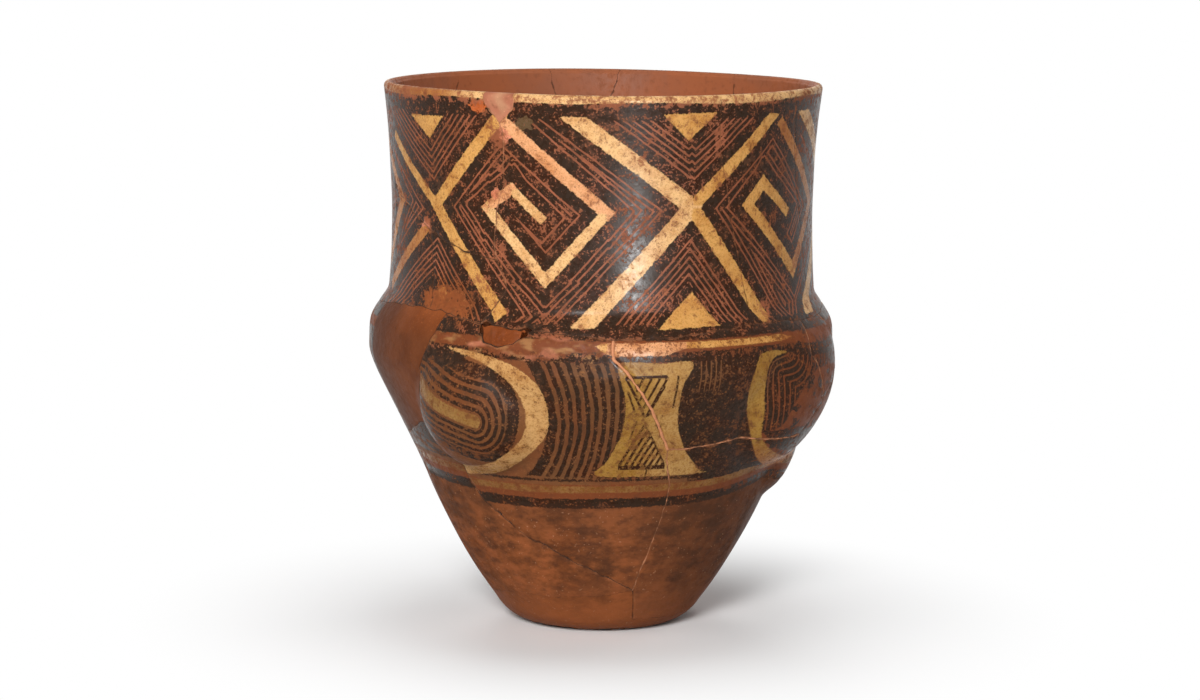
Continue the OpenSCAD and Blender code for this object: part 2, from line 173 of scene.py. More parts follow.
# The breaks, each a list of (angle, height), the same as in the solids
over = topV
breaks = {
    "fillLeft": [(-31, over), (-31, 365), (-27, 352)],
    "fillRight": [(-23, over), (-23, 362), (-27, 352)],
    "neckA": [(-27, 352), (-26, 332), (-26, 312), (-28, 297), (-29, 277), (-28, 262)],
    "neckALow": [(-28, 262), (-25, 245), (-31, 221)],
    "neckB": [(31, over), (31, 350), (32, 330), (34, 315), (36, 285), (39, 255), (42, 221)],
    "neckC": [(58, over), (60, 342), (62, 315), (68, 275), (70, 250), (73, 219)],
    "neckD": [(100, over), (103, 335), (98, 285), (101, 220)],
    "neckE": [(140, over), (138, 340), (144, 292), (141, 252), (145, 221)],
    "neckF": [(175, over), (177, 355), (185, 318)],
    "neckG": [(196, over), (194, 352), (185, 318)],
    "neckFLow": [(185, 318), (181, 282), (187, 250), (184, 219)],
    "neckH": [(225, over), (229, 342), (224, 297), (230, 255), (228, 221)],
    "neckI": [(256, over), (253, 340), (258, 290), (254, 250), (257, 219)],
    "neckJ": [(-75, over), (-77, 352), (-75, 302)],
    "neckJLow": [(-75, 302), (-73, 262), (-75, 223)],
    "slantLeft": [(-75, 302), (-62, 290), (-52, 277)],
    "slantRight": [(-52, 277), (-43, 270), (-36, 265), (-28, 262)],
    "neckK": [(-52, 277), (-50, 252), (-50, 226)],
    "foot": [(-75, 223), (-62, 226), (-50, 226), (-43, 225), (-31, 221), (-18, 219), (3, 214), (25, 217),
             (42, 221), (60, 219), (73, 219), (87, 222), (101, 220), (123, 217), (145, 221), (172, 218),
             (184, 219), (209, 217), (228, 221), (243, 218), (257, 219), (264, 218), (275, 221), (285, 223)],
    "chipEdge": [(-31, 221), (-29, 210), (-25, 207), (-21, 210), (-18, 219)],
    "fillEdge": [(-43, 225), (-44, 212), (-46, 202), (-49, 187), (-50, 165), (-53, 150)],
    "fillLow": [(-75, 134), (-63, 142), (-53, 150)],
    "fillSide": [(-75, 223), (-77, 165), (-75, 134)],
    "leftRun": [(-53, 150), (-50, 138), (-46, 130), (-45, 112), (-42, 97), (-30, 76), (-14, 60), (-2, 49),
                (16, 33)],
    "mainRun": [(3, 214), (3, 202), (6, 194), (9, 182), (13, 167), (16, 152), (19, 138)],
    "mainLow": [(19, 138), (20, 127), (22, 112), (22, 98), (20, 72), (16, 33)],
    "rightRun": [(19, 138), (25, 138), (45, 143), (55, 145), (62, 146)],
    "lugLeft": [(60, 219), (58, 200), (67, 168)],
    "lugRight": [(73, 219), (80, 194), (67, 168)],
    "lugLow": [(67, 168), (62, 146)],
    "bellyA": [(62, 146), (66, 130), (70, 107)],
    "bellyB": [(101, 220), (106, 182), (104, 142), (108, 104)],
    "bellyC": [(172, 218), (174, 180), (170, 140), (173, 104)],
    "bellyD": [(209, 217), (207, 180), (212, 140), (208, 105)],
    "bellyE": [(264, 218), (259, 178), (265, 142), (262, 104)],
    "bellyF": [(-75, 134), (-74, 102)],
    "waist": [(70, 107), (90, 100), (108, 104), (128, 98), (173, 104), (187, 99), (208, 105), (232, 99),
              (262, 104), (286, 102)],
    "lowerA": [(70, 107), (66, 62), (70, 9)],
    "lowerB": [(128, 98), (124, 60), (128, 14)],
    "lowerC": [(187, 99), (192, 58), (188, 14)],
    "lowerD": [(262, 104), (254, 60), (258, 16)],
    "lowerE": [(-74, 102), (-79, 60), (-76, 20)],
    "ring": [(-76, 20), (-60, 24), (-42, 28), (-22, 27), (-5, 29), (16, 33), (20, 10), (45, 8), (70, 9),
             (100, 10), (128, 14), (157, 12), (188, 14), (222, 12), (258, 16), (284, 20)],
}
breakLook = {
    "step": 1.5, "gap": 0.8, "perDegree": 2.6, "seed": 5,
    "rough": 1.5, "roughSize": 13, "fine": 0.5, "fineSize": 3.5, "settle": 5,     # how a break wanders
    "holes": [(-29.5, 219), (-18.5, 217)], "holeWide": 2.3, "holeReach": 3,     # filling has dropped out
    "tight": 0.3,      # share of the gap that a join shows, unless it is listed here
    "shown": {"chipEdge": 0.55, "mainRun": 0.9, "rightRun": 0.7, "neckALow": 0.55, "slantLeft": 0.5,
              "slantRight": 0.55, "neckK": 0.4, "foot": 0.42, "fillEdge": 0.45, "lugLeft": 0.55,
              "lugRight": 0.5, "neckA": 0.42, "mainLow": 0.6, "fillLow": 0.45, "leftRun": 0.7, "lowerA": 0.15,
              "lowerE": 0.15, "ring": 0.05, "bellyF": 0.15,
              ("ring", 5): 1.8},     # one stretch alone, down to the base
}


def roughen(name):
    # a break wanders between its corners, the same for both sherds that meet on it
    points, k = breaks[name], breakLook["perDegree"]
    shown = breakLook["shown"].get(name, breakLook["tight"])
    out, stops = [], []
    for stretch, ((t0, v0), (t1, v1)) in enumerate(zip(points, points[1:])):
        long = math.hypot((t1 - t0) * k, v1 - v0)
        n = max(2, round(long / breakLook["step"]))
        share = breakLook["shown"].get((name, stretch), shown)
        stops.append(len(out))
        for i in range(n):
            s = i / n
            t, v = t0 + (t1 - t0) * s, v0 + (v1 - v0) * s
            hold = min(1, min(s, 1 - s) * long / breakLook["settle"])
            turn = math.radians(t)
            at = Vector((pot["rimR"] * math.sin(turn), pot["rimR"] * math.cos(turn), v))
            stray = breakLook["rough"] * noise.noise_vector(at / breakLook["roughSize"])
            stray += breakLook["fine"] * noise.noise_vector(at / breakLook["fineSize"])
            lift = 0 if v > lipZ - 1 else stray.z * hold
            out.append((t + stray.x * hold / k, v + lift, share))
    stops.append(len(out))
    out.append((*points[-1], shown))
    return np.array(out), stops


noise.seed_set(breakLook["seed"])     # the breaks wander the same way each run
lines = {name: roughen(name) for name in breaks}


def go(name, first=0, last=-1):
    points, stops = lines[name]
    return points[stops[first]:stops[last] + 1]


def back(name, first=0, last=-1):
    return go(name, first, last)[::-1]


def turned(name):
    return back(name) + np.array([360, 0, 0])


def rim(a, b):
    n = max(2, round(abs(b - a) * breakLook["perDegree"] / breakLook["step"]))
    return np.array([(a + (b - a) * i / n, topV, 0) for i in range(n + 1)])


def loopOf(*runs):
    return np.vstack([run[:-1] for run in runs])


sherds = {
    "neck_front": loopOf(go("fillRight"), go("neckA"), go("neckALow"), go("foot", 4, 8), back("neckB"),
                         rim(31, -23)),
    "neck_right": loopOf(go("neckB"), go("foot", 8, 10), back("neckC"), rim(58, 31)),
    "neck_right_rear": loopOf(go("neckC"), go("foot", 10, 12), back("neckD"), rim(100, 58)),
    "neck_back_right": loopOf(go("neckD"), go("foot", 12, 14), back("neckE"), rim(140, 100)),
    "neck_back": loopOf(go("neckE"), go("foot", 14, 16), back("neckFLow"), back("neckF"), rim(175, 140)),
    "rim_back_chip": loopOf(go("neckF"), back("neckG"), rim(196, 175)),
    "neck_back_left": loopOf(go("neckG"), go("neckFLow"), go("foot", 16, 18), back("neckH"), rim(225, 196)),
    "neck_left_back": loopOf(go("neckH"), go("foot", 18, 20), back("neckI"), rim(256, 225)),
    "neck_left_rear": loopOf(go("neckI"), go("foot", 20, 23), turned("neckJLow"), turned("neckJ"),
                             rim(285, 256)),
    "neck_left_upper": loopOf(go("neckJ"), go("slantLeft"), go("slantRight"), back("neckA"), back("fillLeft"),
                              rim(-31, -75)),
    "neck_left_lower": loopOf(go("neckJLow"), go("foot", 0, 2), back("neckK"), back("slantLeft")),
    "neck_left_foot": loopOf(go("neckK"), go("foot", 2, 4), back("neckALow"), back("slantRight")),
    "rim_fill": loopOf(go("fillLeft"), back("fillRight"), rim(-23, -31)),
    "shoulder_chip": loopOf(go("chipEdge"), back("foot", 4, 5)),
    "shoulder_fill": loopOf(go("fillSide"), go("fillLow"), back("fillEdge"), back("foot", 0, 3)),
    "belly_front": loopOf(go("fillEdge"), go("leftRun"), back("mainLow"), back("mainRun"), back("foot", 5, 6),
                          back("chipEdge"), back("foot", 3, 4)),
    "belly_right": loopOf(go("mainRun"), go("rightRun"), back("lugLow"), back("lugLeft"), back("foot", 6, 9)),
    "lug_chip": loopOf(go("lugLeft"), back("lugRight"), back("foot", 9, 10)),
    "belly_right_rear": loopOf(go("lugRight"), go("lugLow"), go("bellyA"), go("waist", 0, 2), back("bellyB"),
                               back("foot", 10, 12)),
    "belly_back_right": loopOf(go("bellyB"), go("waist", 2, 4), back("bellyC"), back("foot", 12, 15)),
    "belly_back": loopOf(go("bellyC"), go("waist", 4, 6), back("bellyD"), back("foot", 15, 17)),
    "belly_back_left": loopOf(go("bellyD"), go("waist", 6, 8), back("bellyE"), back("foot", 17, 21)),
    "belly_left_rear": loopOf(go("bellyE"), go("waist", 8, 9), turned("bellyF"), turned("fillSide"),
                              back("foot", 21, 23)),
    "body_left": loopOf(go("bellyF"), go("lowerE"), go("ring", 0, 5), back("leftRun"), back("fillLow")),
    "body_right": loopOf(go("mainLow"), go("ring", 5, 8), back("lowerA"), back("bellyA"), back("rightRun")),
    "lower_right_rear": loopOf(go("lowerA"), go("ring", 8, 10), back("lowerB"), back("waist", 0, 3)),
    "lower_back_right": loopOf(go("lowerB"), go("ring", 10, 12), back("lowerC"), back("waist", 3, 5)),
    "lower_back_left": loopOf(go("lowerC"), go("ring", 12, 14), back("lowerD"), back("waist", 5, 8)),
    "lower_left_rear": loopOf(go("lowerD"), go("ring", 14, 15), turned("lowerE"), back("waist", 8, 9)),
}
print("breaks drawn,", len(sherds), "outlines")


# Flat shapes, in mm on the unrolled wall, with a signed distance that is positive inside
def fromEdge(loop, x, y):
    best = np.full(x.shape, 1e9)
    inside = np.zeros(x.shape, bool)
    for (x0, y0), (x1, y1) in zip(loop, np.roll(loop, -1, 0)):
        dx, dy = x1 - x0, y1 - y0
        s = np.clip(((x - x0) * dx + (y - y0) * dy) / max(dx * dx + dy * dy, 1e-9), 0, 1)
        best = np.minimum(best, (x - x0 - s * dx) ** 2 + (y - y0 - s * dy) ** 2)
        if dy:
            inside ^= ((y0 > y) != (y1 > y)) & (x < x0 + (y - y0) * dx / dy)
    return np.where(inside, 1, -1) * np.sqrt(best)


def fromStroke(points, wide, x, y, square=True):
    # square ends overlap into sharp corners
    best = np.full(x.shape, -60.0)
    for (x0, y0), (x1, y1) in zip(points, points[1:]):
        long = math.hypot(x1 - x0, y1 - y0)
        ux, uy = (x1 - x0) / long, (y1 - y0) / long
        mx, my = x - (x0 + x1) / 2, y - (y0 + y1) / 2
        end = long / 2 + (wide / 2 if square else 0) - np.abs(mx * ux + my * uy)
        side = wide / 2 - np.abs(my * ux - mx * uy)
        best = np.maximum(best, np.minimum(end, side))
    return best


def smoothLoop(points, steps=6):
    p = np.array(points, float)
    a, b, c, d = np.roll(p, 1, 0), p, np.roll(p, -1, 0), np.roll(p, -2, 0)
    t = np.linspace(0, 1, steps + 1)[:-1, None, None]
    q = 0.5 * (2 * b + (c - a) * t + (2 * a - 5 * b + 4 * c - d) * t ** 2 + (3 * b - a - 3 * c + d) * t ** 3)
    return q.transpose(1, 0, 2).reshape(-1, 2)


def unroll(points, perDegree, shift=0):
    return np.array([((t + shift) * perDegree, z) for t, z in points])


# Pigments and clays, sRGB
tints = {
    "dark": (45, 30, 19), "umber": (52, 27, 12), "cream": (217, 172, 118), "gold": (202, 150, 84),
    "ochre": (176, 116, 62), "salmon": (214, 155, 109), "buff": (190, 146, 92), "panel": (172, 132, 77),
    "olive": (154, 115, 54), "oval": (142, 106, 58), "lowBand": (130, 90, 48),
    "redLine": (160, 93, 64), "arcBrown": (108, 69, 40), "eyeBrown": (112, 70, 38), "redClay": (112, 58, 30),
    "clay": (110, 59, 28), "plaster": (110, 61, 34), "orange": (192, 104, 58), "inside": (152, 87, 55),
    "pink": (205, 130, 100), "smoke": (92, 70, 47), "chalk": (184, 133, 101), "chip": (132, 68, 33),
    "bareClay": (150, 82, 43),
}


def lin(name):
    c = np.array(tints[name]) / 255
    return np.where(c > 0.04045, ((c + 0.055) / 1.055) ** 2.4, c / 12.92)


def fadeTo(colours, name, amount):
    return colours + (lin(name) - colours) * amount[:, None]


def laySlip(cream, tint, d, colour):
    # pale slip over what is there, as a distance inside it and a tint
    fresh = d > cream
    tint[fresh] = np.broadcast_to(colour, tint.shape)[fresh]
    return np.maximum(cream, d)


# Neck: crossing bands, square spirals and triangles, as (pigment, width, (angle, height)...)
neckPerDegree = 2.53
crossLeft = [
    ("gold", 8.5, (-26.5, 357), (-49, 295)), ("gold", 6.5, (-71, 336), (-49, 295)),
    ("gold", 9, (-49, 295), (-27, 229)), ("ochre", 7.5, (-54, 278), (-76, 236)),
    ("salmon", 8, (-26.5, 354), (1.2, 295)), ("cream", 7, (1.2, 295), (-14.5, 250.5)),
    ("cream", 7, (-14.5, 250.5), (-31, 296)), ("salmon", 7, (-31, 296), (-24, 309)),
    ("cream", 6, (-24, 309), (-16, 291)),
]
crossRight = [
    ("cream", 11, (-9.5, 361), (23.8, 298.5)), ("gold", 8, (23.8, 298.5), (51, 361)),
    ("cream", 11, (23.8, 298.5), (-6.5, 216)), ("gold", 9.5, (23.8, 298.5), (45.5, 226)),
    ("ochre", 7.5, (53, 350), (76, 294)), ("ochre", 8, (76, 294), (62, 251)),
    ("gold", 8, (62, 251), (41.5, 298)), ("gold", 8, (41.5, 298), (46.8, 312)),
    ("gold", 7, (46.8, 312), (57.5, 292)),
]
triangles = {"left": [[(-59, 353), (-45, 354), (-51, 338.5)]],
             "right": [[(15, 360), (30, 360.5), (22.3, 342)], [(14, 220), (31, 221.5), (24, 243)]]}
repeats = [(crossLeft, "left", 0)] + [(crossRight, "right", turn) for turn in (0, 72, 144, 216, -144)]
patches = [(-46, 237, 4.2, 4.2, "ochre"), (-20, 352.5, 6, 4.5, "smoke"), (-25.6, 345, 4, 5, "pink"),
           (-28.6, 303, 3.5, 6, "pink"), (-54, 280, 5, 4, "pink"), (-33, 362, 6, 4, "orange")]
neckLines = {"border": 7.0, "pitch": 3.5, "gap": 0.33, "reach": 26, "slip": (221, 357.6), "lined": (223, 356),
             "rimBand": 366.6, "rimWave": 0.8, "rimWaves": 7, "rimFade": (34, 46)}


def neckPaint(theta, v):
    x = theta * neckPerDegree
    arms, cream = np.full(x.shape, -60.0), np.full(x.shape, -60.0)
    tint = np.tile(lin("gold"), (len(x), 1))
    low, high = neckLines["slip"]
    for strokes, corner, shift in repeats:
        for pigment, wide, *points in strokes:
            d = fromStroke(unroll(points, neckPerDegree, shift), wide, x, v)
            arms = np.maximum(arms, d)
            cream = laySlip(cream, tint, np.minimum(d, np.minimum(high - v, v - low)), lin(pigment))
        for points in triangles[corner]:
            cream = laySlip(cream, tint, fromEdge(unroll(points, neckPerDegree, shift), x, v), lin("gold"))
    away = -arms
    low, high = neckLines["lined"]
    lined = (away > neckLines["border"]) & (away < neckLines["reach"]) & (v > low) & (v < high)
    phase = (away - neckLines["border"]) / neckLines["pitch"]
    gap = np.where(lined, neckLines["gap"], 0)
    rimWave = neckLines["rimWave"] * np.sin(np.radians(theta) * neckLines["rimWaves"])
    rimBand = v - neckLines["rimBand"] - rimWave
    rimTint = fadeTo(np.tile(lin("cream"), (len(x), 1)), "ochre", soften(-theta, *neckLines["rimFade"]))
    cream = laySlip(cream, tint, rimBand, rimTint)
    for a, z, wide, tall, pigment in patches:
        spot = (1 - np.hypot((x - a * neckPerDegree) / wide, (v - z) / tall)) * min(wide, tall)
        spot = spot + 1.3 * np.sin(0.9 * x + a) * np.cos(1.1 * v)
        cream = laySlip(cream, tint, spot, lin(pigment))
    return cream, tint, phase, gap


# Belly: an eye on each lug with crescents, arcs, a hatched hourglass panel and dark fields
bellyPerDegree = 2.72
belly = {
    "turns": {"belly_back_right": 186, "belly_back": 172, "belly_back_left": 172, "belly_left_rear": 360},
    "mirror": 132, "leftOf": 20,
    "eyeCore": [(-60, 187), (-29.3, 164)], "eyeSquash": 0.85, "oval": 4.0, "eyePitch": 3.9, "eyeArcs": 20,
    "eyeGap": 0.45, "eyeBand": 26.5, "eyeGround": 30,
    "arcStart": 43.0, "arcPitch": 5.7, "arcGap": 0.46, "arcSpan": (118, 200),
    "crescent": [(-38, 204.5), (-30, 202.5), (-22.5, 197.5), (-16.5, 188.5), (-13.7, 176), (-13, 163),
                 (-14, 150), (-17.5, 139), (-23, 129), (-29, 121.5), (-37, 116), (-46, 115), (-46, 124),
                 (-38, 127.5), (-31.5, 130.5), (-25.4, 137), (-20.4, 146.5), (-18.6, 157), (-19, 170),
                 (-21.6, 183), (-26.5, 193.5), (-32, 199.5), (-38, 203)],
    "blackPatch": [(-47, 196), (-45.5, 206), (-40, 204), (-33, 201), (-37, 194), (-43, 194)],
    "panel": [(4.6, 199), (5.7, 180), (6.3, 166), (5.7, 150), (4.1, 140), (2, 130), (-1, 120), (15, 119.5),
              (33, 119.5), (30.5, 122), (27, 130), (24, 138), (22, 147), (20.5, 155), (19.7, 170), (20, 185),
              (22, 199), (14, 199)],
    "field": [(22, 199), (20, 185), (19.7, 170), (20.5, 155), (22, 147), (24, 138), (27, 130), (30.5, 122),
              (28, 114.5), (45, 113.5), (60, 111.5), (68, 110), (58, 119.5), (52, 126), (48, 133.5),
              (45, 142), (43, 150), (41, 160), (39.6, 170), (39, 180), (39.6, 190), (42.5, 205), (30, 206)],
    "comb": (23.6, 30.2), "combLow": 176, "combPitch": 1.32, "combGap": 0.3,     # fine lines in the field
    "rightCrescent": [(42, 201.5), (39.6, 190), (39, 180), (39.6, 170), (41, 160), (43, 150), (45, 142),
                      (48, 133.5), (52, 126), (58, 119.5), (66, 111), (82, 108), (82, 121), (70, 124),
                      (60, 129.5), (53.4, 134.5), (48.2, 142), (46, 150), (44.8, 165), (44, 180), (43.8, 190),
                      (45.8, 197), (50, 201)],
    "lugSpot": (62, 165), "lugSquash": 0.9, "lugWide": 46, "lugFrom": 40, "lugPitch": 4.0, "lugGap": 0.27,
    "lugDark": [(45, 197), (52, 204), (60, 203.5), (67, 200), (65, 192), (60, 190), (55.5, 180), (52.5, 167),
                (51, 154), (45.6, 150), (44.6, 165), (43.8, 180), (43.4, 190)],
    # painted shade on the lower flank of the lug, laid as dark paint
    "lugShade": [(48, 149), (55, 152.5), (63, 151), (69, 143), (63, 133), (55, 136), (50, 142)],
    "hatch": [(5.5, 127), (19, 127), (11.5, 157)], "hatchAcross": (0.875, -0.485), "hatchPitch": 4.2,
    "hatchHalf": 0.26, "combFade": 8, "ochreBelow": (122, 142), "oliveRight": (-17, -9),
}
panelInk = [
    (2, (5.9, 190), (15.9, 190.5)), (1.8, (5.9, 190), (11.3, 162)), (1.8, (15.9, 190), (11.5, 162)),
    (1.7, (14, 189), (10.6, 168)), (1.7, (12, 189), (9.6, 174)), (1.7, (15.4, 184), (12, 163)),
    (1.6, (10, 189), (8.6, 180)), (3, (5.3, 125.8), (19.2, 125.8)), (1.3, (5.4, 127), (11.5, 157)),
    (1.3, (11.5, 157), (19, 127)), (1.5, (13.6, 119), (13.8, 124)), (1.6, (18.5, 191), (18.2, 168)),
    (1.5, (6.6, 180), (8.6, 166)), (1.4, (9.4, 160), (8.0, 146)),
]


def bellyPlace(name, theta):
    # the hidden sherds repeat the shown side round the other lugs, turned or mirrored
    place = theta - belly["turns"].get(name, 0)
    return np.minimum(place, belly["mirror"] - place)


def bellyShape(name, place, v):
    flat = unroll(belly[name], bellyPerDegree)
    if name != "hatch":
        flat = smoothLoop(flat)
    return fromEdge(flat, place * bellyPerDegree, v)


def bellyPaint(name, theta, v):
    place = bellyPlace(name, theta)
    x = place * bellyPerDegree
    n = len(x)
    shape = {key: bellyShape(key, place, v) for key in
             ("crescent", "blackPatch", "panel", "field", "rightCrescent", "lugDark", "lugShade", "hatch")}
    (x0, y0), (x1, y1) = unroll(belly["eyeCore"], bellyPerDegree)
    s = np.clip(((x - x0) * (x1 - x0) + (v - y0) * (y1 - y0)) / ((x1 - x0) ** 2 + (y1 - y0) ** 2), 0, 1)
    eye = np.hypot(x - x0 - s * (x1 - x0), belly["eyeSquash"] * (v - y0 - s * (y1 - y0)))
    leftSide = (place < belly["leftOf"]) & (shape["panel"] < 0)
    lugT, lugZ = belly["lugSpot"]
    lug = np.hypot(x - lugT * bellyPerDegree, belly["lugSquash"] * (v - lugZ))
    onLug = (lug < belly["lugWide"]) & (place > belly["lugFrom"])
    ground = np.tile(lin("arcBrown"), (n, 1))
    ground[(eye < belly["eyeGround"]) & leftSide] = lin("eyeBrown")
    ground[onLug] = lin("redClay")

    # dark paint, in worn blotches on the right lug, and painted shade on the lug's lower flank
    oval, start = belly["oval"], belly["arcStart"]
    inBand = leftSide & (eye > oval - 1) & (eye < belly["eyeBand"])
    dark = np.where(inBand, np.minimum(eye - oval, belly["eyeBand"] - eye), -9.0)
    arcs = leftSide & (eye > start - 2)
    low, high = belly["arcSpan"]
    ends = np.minimum(eye - start, np.minimum(v - low, high - v))
    dark = np.where(arcs, np.maximum(dark, ends), dark)
    for key in ("blackPatch", "field", "lugDark", "lugShade"):
        dark = np.maximum(dark, shape[key])
    worn = np.flatnonzero(onLug & (dark < 0))
    flat = np.stack([x, v, 0 * v], -1)[worn]
    dark[worn] = np.maximum(dark[worn], 5 * (noiseAt(flat + 31, 8) + 0.7 * noiseAt(flat, 3.5) - 0.3))

    # lines left open in the dark paint: in the eye, between the arcs, in the field and on the right lug
    phase, gap = np.zeros(n), np.zeros(n)
    inEye = leftSide & (eye > oval) & (eye < belly["eyeArcs"])
    first, last = belly["comb"]
    comb = (shape["field"] > 0) & (place > first) & (place < last) & (v > belly["combLow"])
    onRight = (shape["lugDark"] > 0) & (shape["rightCrescent"] < -1)
    arcGap = np.where(eye < start + belly["arcPitch"], 0, belly["arcGap"])
    combGap = belly["combGap"] * np.clip((v - belly["combLow"]) / belly["combFade"], 0, 1)
    for where, waves, share in (
            (inEye, (eye - oval) / belly["eyePitch"] + 0.5, belly["eyeGap"]),
            (arcs, (eye - start) / belly["arcPitch"], arcGap),
            (comb, (place - first) / belly["combPitch"], combGap),
            (onRight, -shape["rightCrescent"] / belly["lugPitch"], belly["lugGap"])):
        phase = np.where(where, waves, phase)
        gap = np.where(where, share, gap)
    for key in ("field", "blackPatch"):
        gap = np.where((shape[key] > 0) & ~comb, 0, gap)

    # pale slip
    cream = np.where(leftSide, oval - 0.6 - eye, -60.0)
    tint = np.tile(lin("oval"), (n, 1))
    for key, pigment in (("crescent", "buff"), ("panel", "panel"), ("rightCrescent", "olive")):
        cream = laySlip(cream, tint, shape[key], lin(pigment))
    low, high = belly["ochreBelow"]
    tint = fadeTo(tint, "ochre", np.clip((high - v) / (high - low), 0, 1) * (shape["rightCrescent"] == cream))
    tint = fadeTo(tint, "olive", soften(-place, *belly["oliveRight"]) * (shape["panel"] > -3))

    # strokes on the slip
    ink = np.full(n, -9.0)
    for wide, *points in panelInk:
        ink = np.maximum(ink, fromStroke(unroll(points, bellyPerDegree), wide, x, v, False))
    across, up = belly["hatchAcross"]
    wave = ((x * across + v * up) / belly["hatchPitch"]) % 1
    hatching = (belly["hatchHalf"] - np.abs(wave - 0.5)) * belly["hatchPitch"]
    ink = np.maximum(ink, np.minimum(shape["hatch"], hatching))
    return {"cream": cream, "creamTint": tint, "phase": phase, "gap": gap, "dark": dark, "ground": ground,
            "ink": ink}


# Bands and lines above and below the frieze, and how far each is worn
bands = {
    "neckFoot": 214.5, "shoulder": 199, "pale": (208.2, 212.4), "under": (199.6, 206.4), "over": 213.5,
    "swell": 4.4, "swellAt": (-2, 4, 14, 21), "salmonAt": (0, 3, 18, 23), "goldAt": (-5, 49),
    "patchy": (-46, 4),
    "lossLeft": 4, "leftEnd": (-2, 5), "lossRight": 3, "rightEnd": (48, 56),     # the pale band narrows
    "inkFoot": 118, "lineTop": 117, "thin": 116.6, "slipFoot": 113, "lowPale": (107.3, 112.2),
    "blackTop": 112, "black": 99.6, "blackHalf": 3.5, "clay": (97.5, 99.5),
    "liftLeft": 9.5, "liftFrom": -76, "liftRight": 10.5, "liftOver": (28, 72), "wave": 1.1, "waves": 3.4,
    "wear": 0.12, "spotFade": (-1.25, -0.5), "shoulderWear": 0.45, "shoulderWorn": (200, 204, 211, 216),
    "rimWear": 0.58, "rimWorn": (362, 365), "wearFoot": 104, "lowWear": 0.45, "lowWorn": (103, 105, 112, 114),
    "seam": 272, "setHigh": 8, "setFrom": (20, 46), "besideHigh": (123, 126), "besideLeft": (40, 44),
    "earth": (-44, 232), "earthWide": 15, "earthTall": 20,
}
# Worn spots, as (angle, height, width, height of the spot, amount)
bare = [
    (-45, 231, 27, 12, 0.95), (-34, 246, 12, 9, 0.6), (-27, 346, 9, 16, 0.7), (31, 343, 5, 15, 0.55),
    (47, 230, 8, 9, 0.6), (-13, 226, 11, 5, 0.5), (-17, 209, 44, 11, 0.8), (57, 245, 7, 6, 0.6),
    (-54, 281, 7, 6, 0.8), (10, 329, 6, 4, 0.5), (-66, 296, 12, 5, 0.5), (-28, 268, 9, 8, 0.5),
    (-27, 312, 5, 26, 0.5), (63, 330, 8, 8, 0.4), (-38, 168, 32, 26, 0.32), (-51, 180, 15, 11, 0.5),
    (-40, 138, 34, 12, 0.5), (9, 158, 12, 34, 0.4), (58, 172, 16, 26, 0.4),
]


def shoulderBand(paint, t, v):
    # a pale band between two dark lines, patchy on the left
    low, high = bands["pale"]
    swell = bands["swell"] * window(t, *bands["swellAt"])
    band = np.minimum(v - low + swell, high - v) - bands["lossLeft"] * soften(-t, *bands["leftEnd"])
    band = band - bands["lossRight"] * soften(t, *bands["rightEnd"])
    salmon = window(t, *bands["salmonAt"]) > 0.5
    colour = np.where(salmon[:, None], lin("salmon"), lin("gold"))
    first, last = bands["goldAt"]
    colour = np.where(((t < first) | (t > last))[:, None], lin("ochre"), colour)
    paint["cream"] = laySlip(paint["cream"], paint["creamTint"], band, colour)
    low, high = bands["under"]
    dark = np.maximum(np.minimum(v - low, high - v), v - bands["over"])
    paint["dark"] = np.maximum(paint["dark"], dark)
    shoulder = v > bands["shoulder"]
    paint["gap"][shoulder] = 0
    paint["ground"][shoulder] = lin("redClay")
    first, last = bands["patchy"]
    patchy = np.flatnonzero(shoulder & (t > first) & (t < last))
    flat = np.stack([t * bellyPerDegree, 2.2 * v, 0 * v], -1)[patchy]
    pale = 0.6 * soften(noiseAt(flat, 11) + 0.5 * noiseAt(flat, 4), 0.0, 0.5)
    pink = 0.6 * soften(noiseAt(flat + 40, 13), 0.1, 0.4)
    paint["ground"][patchy] = fadeTo(fadeTo(paint["ground"][patchy], "buff", pale), "pink", pink)


def lowLines(paint, t, v):
    # a thin line, a pale band and a black line below the frieze, then bare clay
    left = bands["liftLeft"] * (t < bands["liftFrom"])
    lifted = np.where(t < 0, left, bands["liftRight"] * soften(t, *bands["liftOver"]))
    below = v - (lifted + bands["wave"] * np.sin(np.radians(t) * bands["waves"]))
    low, high = bands["lowPale"]
    band = np.minimum(below - low, high - below)
    paint["creamTint"][band > np.maximum(paint["cream"], -2)] = lin("lowBand")
    slip = np.maximum(band, np.minimum(paint["cream"], below - bands["slipFoot"]))
    paint["cream"] = np.where(below < bands["lineTop"], slip, paint["cream"])
    black = bands["blackHalf"] - np.abs(below - bands["black"])
    dark = np.where(below < bands["blackTop"], black, paint["dark"])
    paint["dark"] = np.maximum(dark, 1.0 - np.abs(below - bands["thin"]))
    paint["gap"][below < bands["lineTop"]] = 0
    paint["ground"][below < bands["slipFoot"]] = lin("redClay")
    paint["ink"] = np.where(below < bands["inkFoot"], -9, paint["ink"])
    low, high = bands["clay"]
    paint["clay"] = soften(-below, -high, -low)


def wearOf(t, v):
    wear = np.full(len(t), bands["wear"])
    for a, z, wide, tall, amount in bare:
        far = np.hypot((t - a) * neckPerDegree / wide, (v - z) / tall)
        wear = np.maximum(wear, amount * soften(-far, *bands["spotFade"]))
    wear = np.maximum(wear, bands["shoulderWear"] * window(v, *bands["shoulderWorn"]))
    wear = np.maximum(wear, bands["rimWear"] * soften(v, *bands["rimWorn"]))
    wear = np.where(v < bands["wearFoot"], 0.0, wear)
    return np.maximum(wear, bands["lowWear"] * window(v, *bands["lowWorn"]))


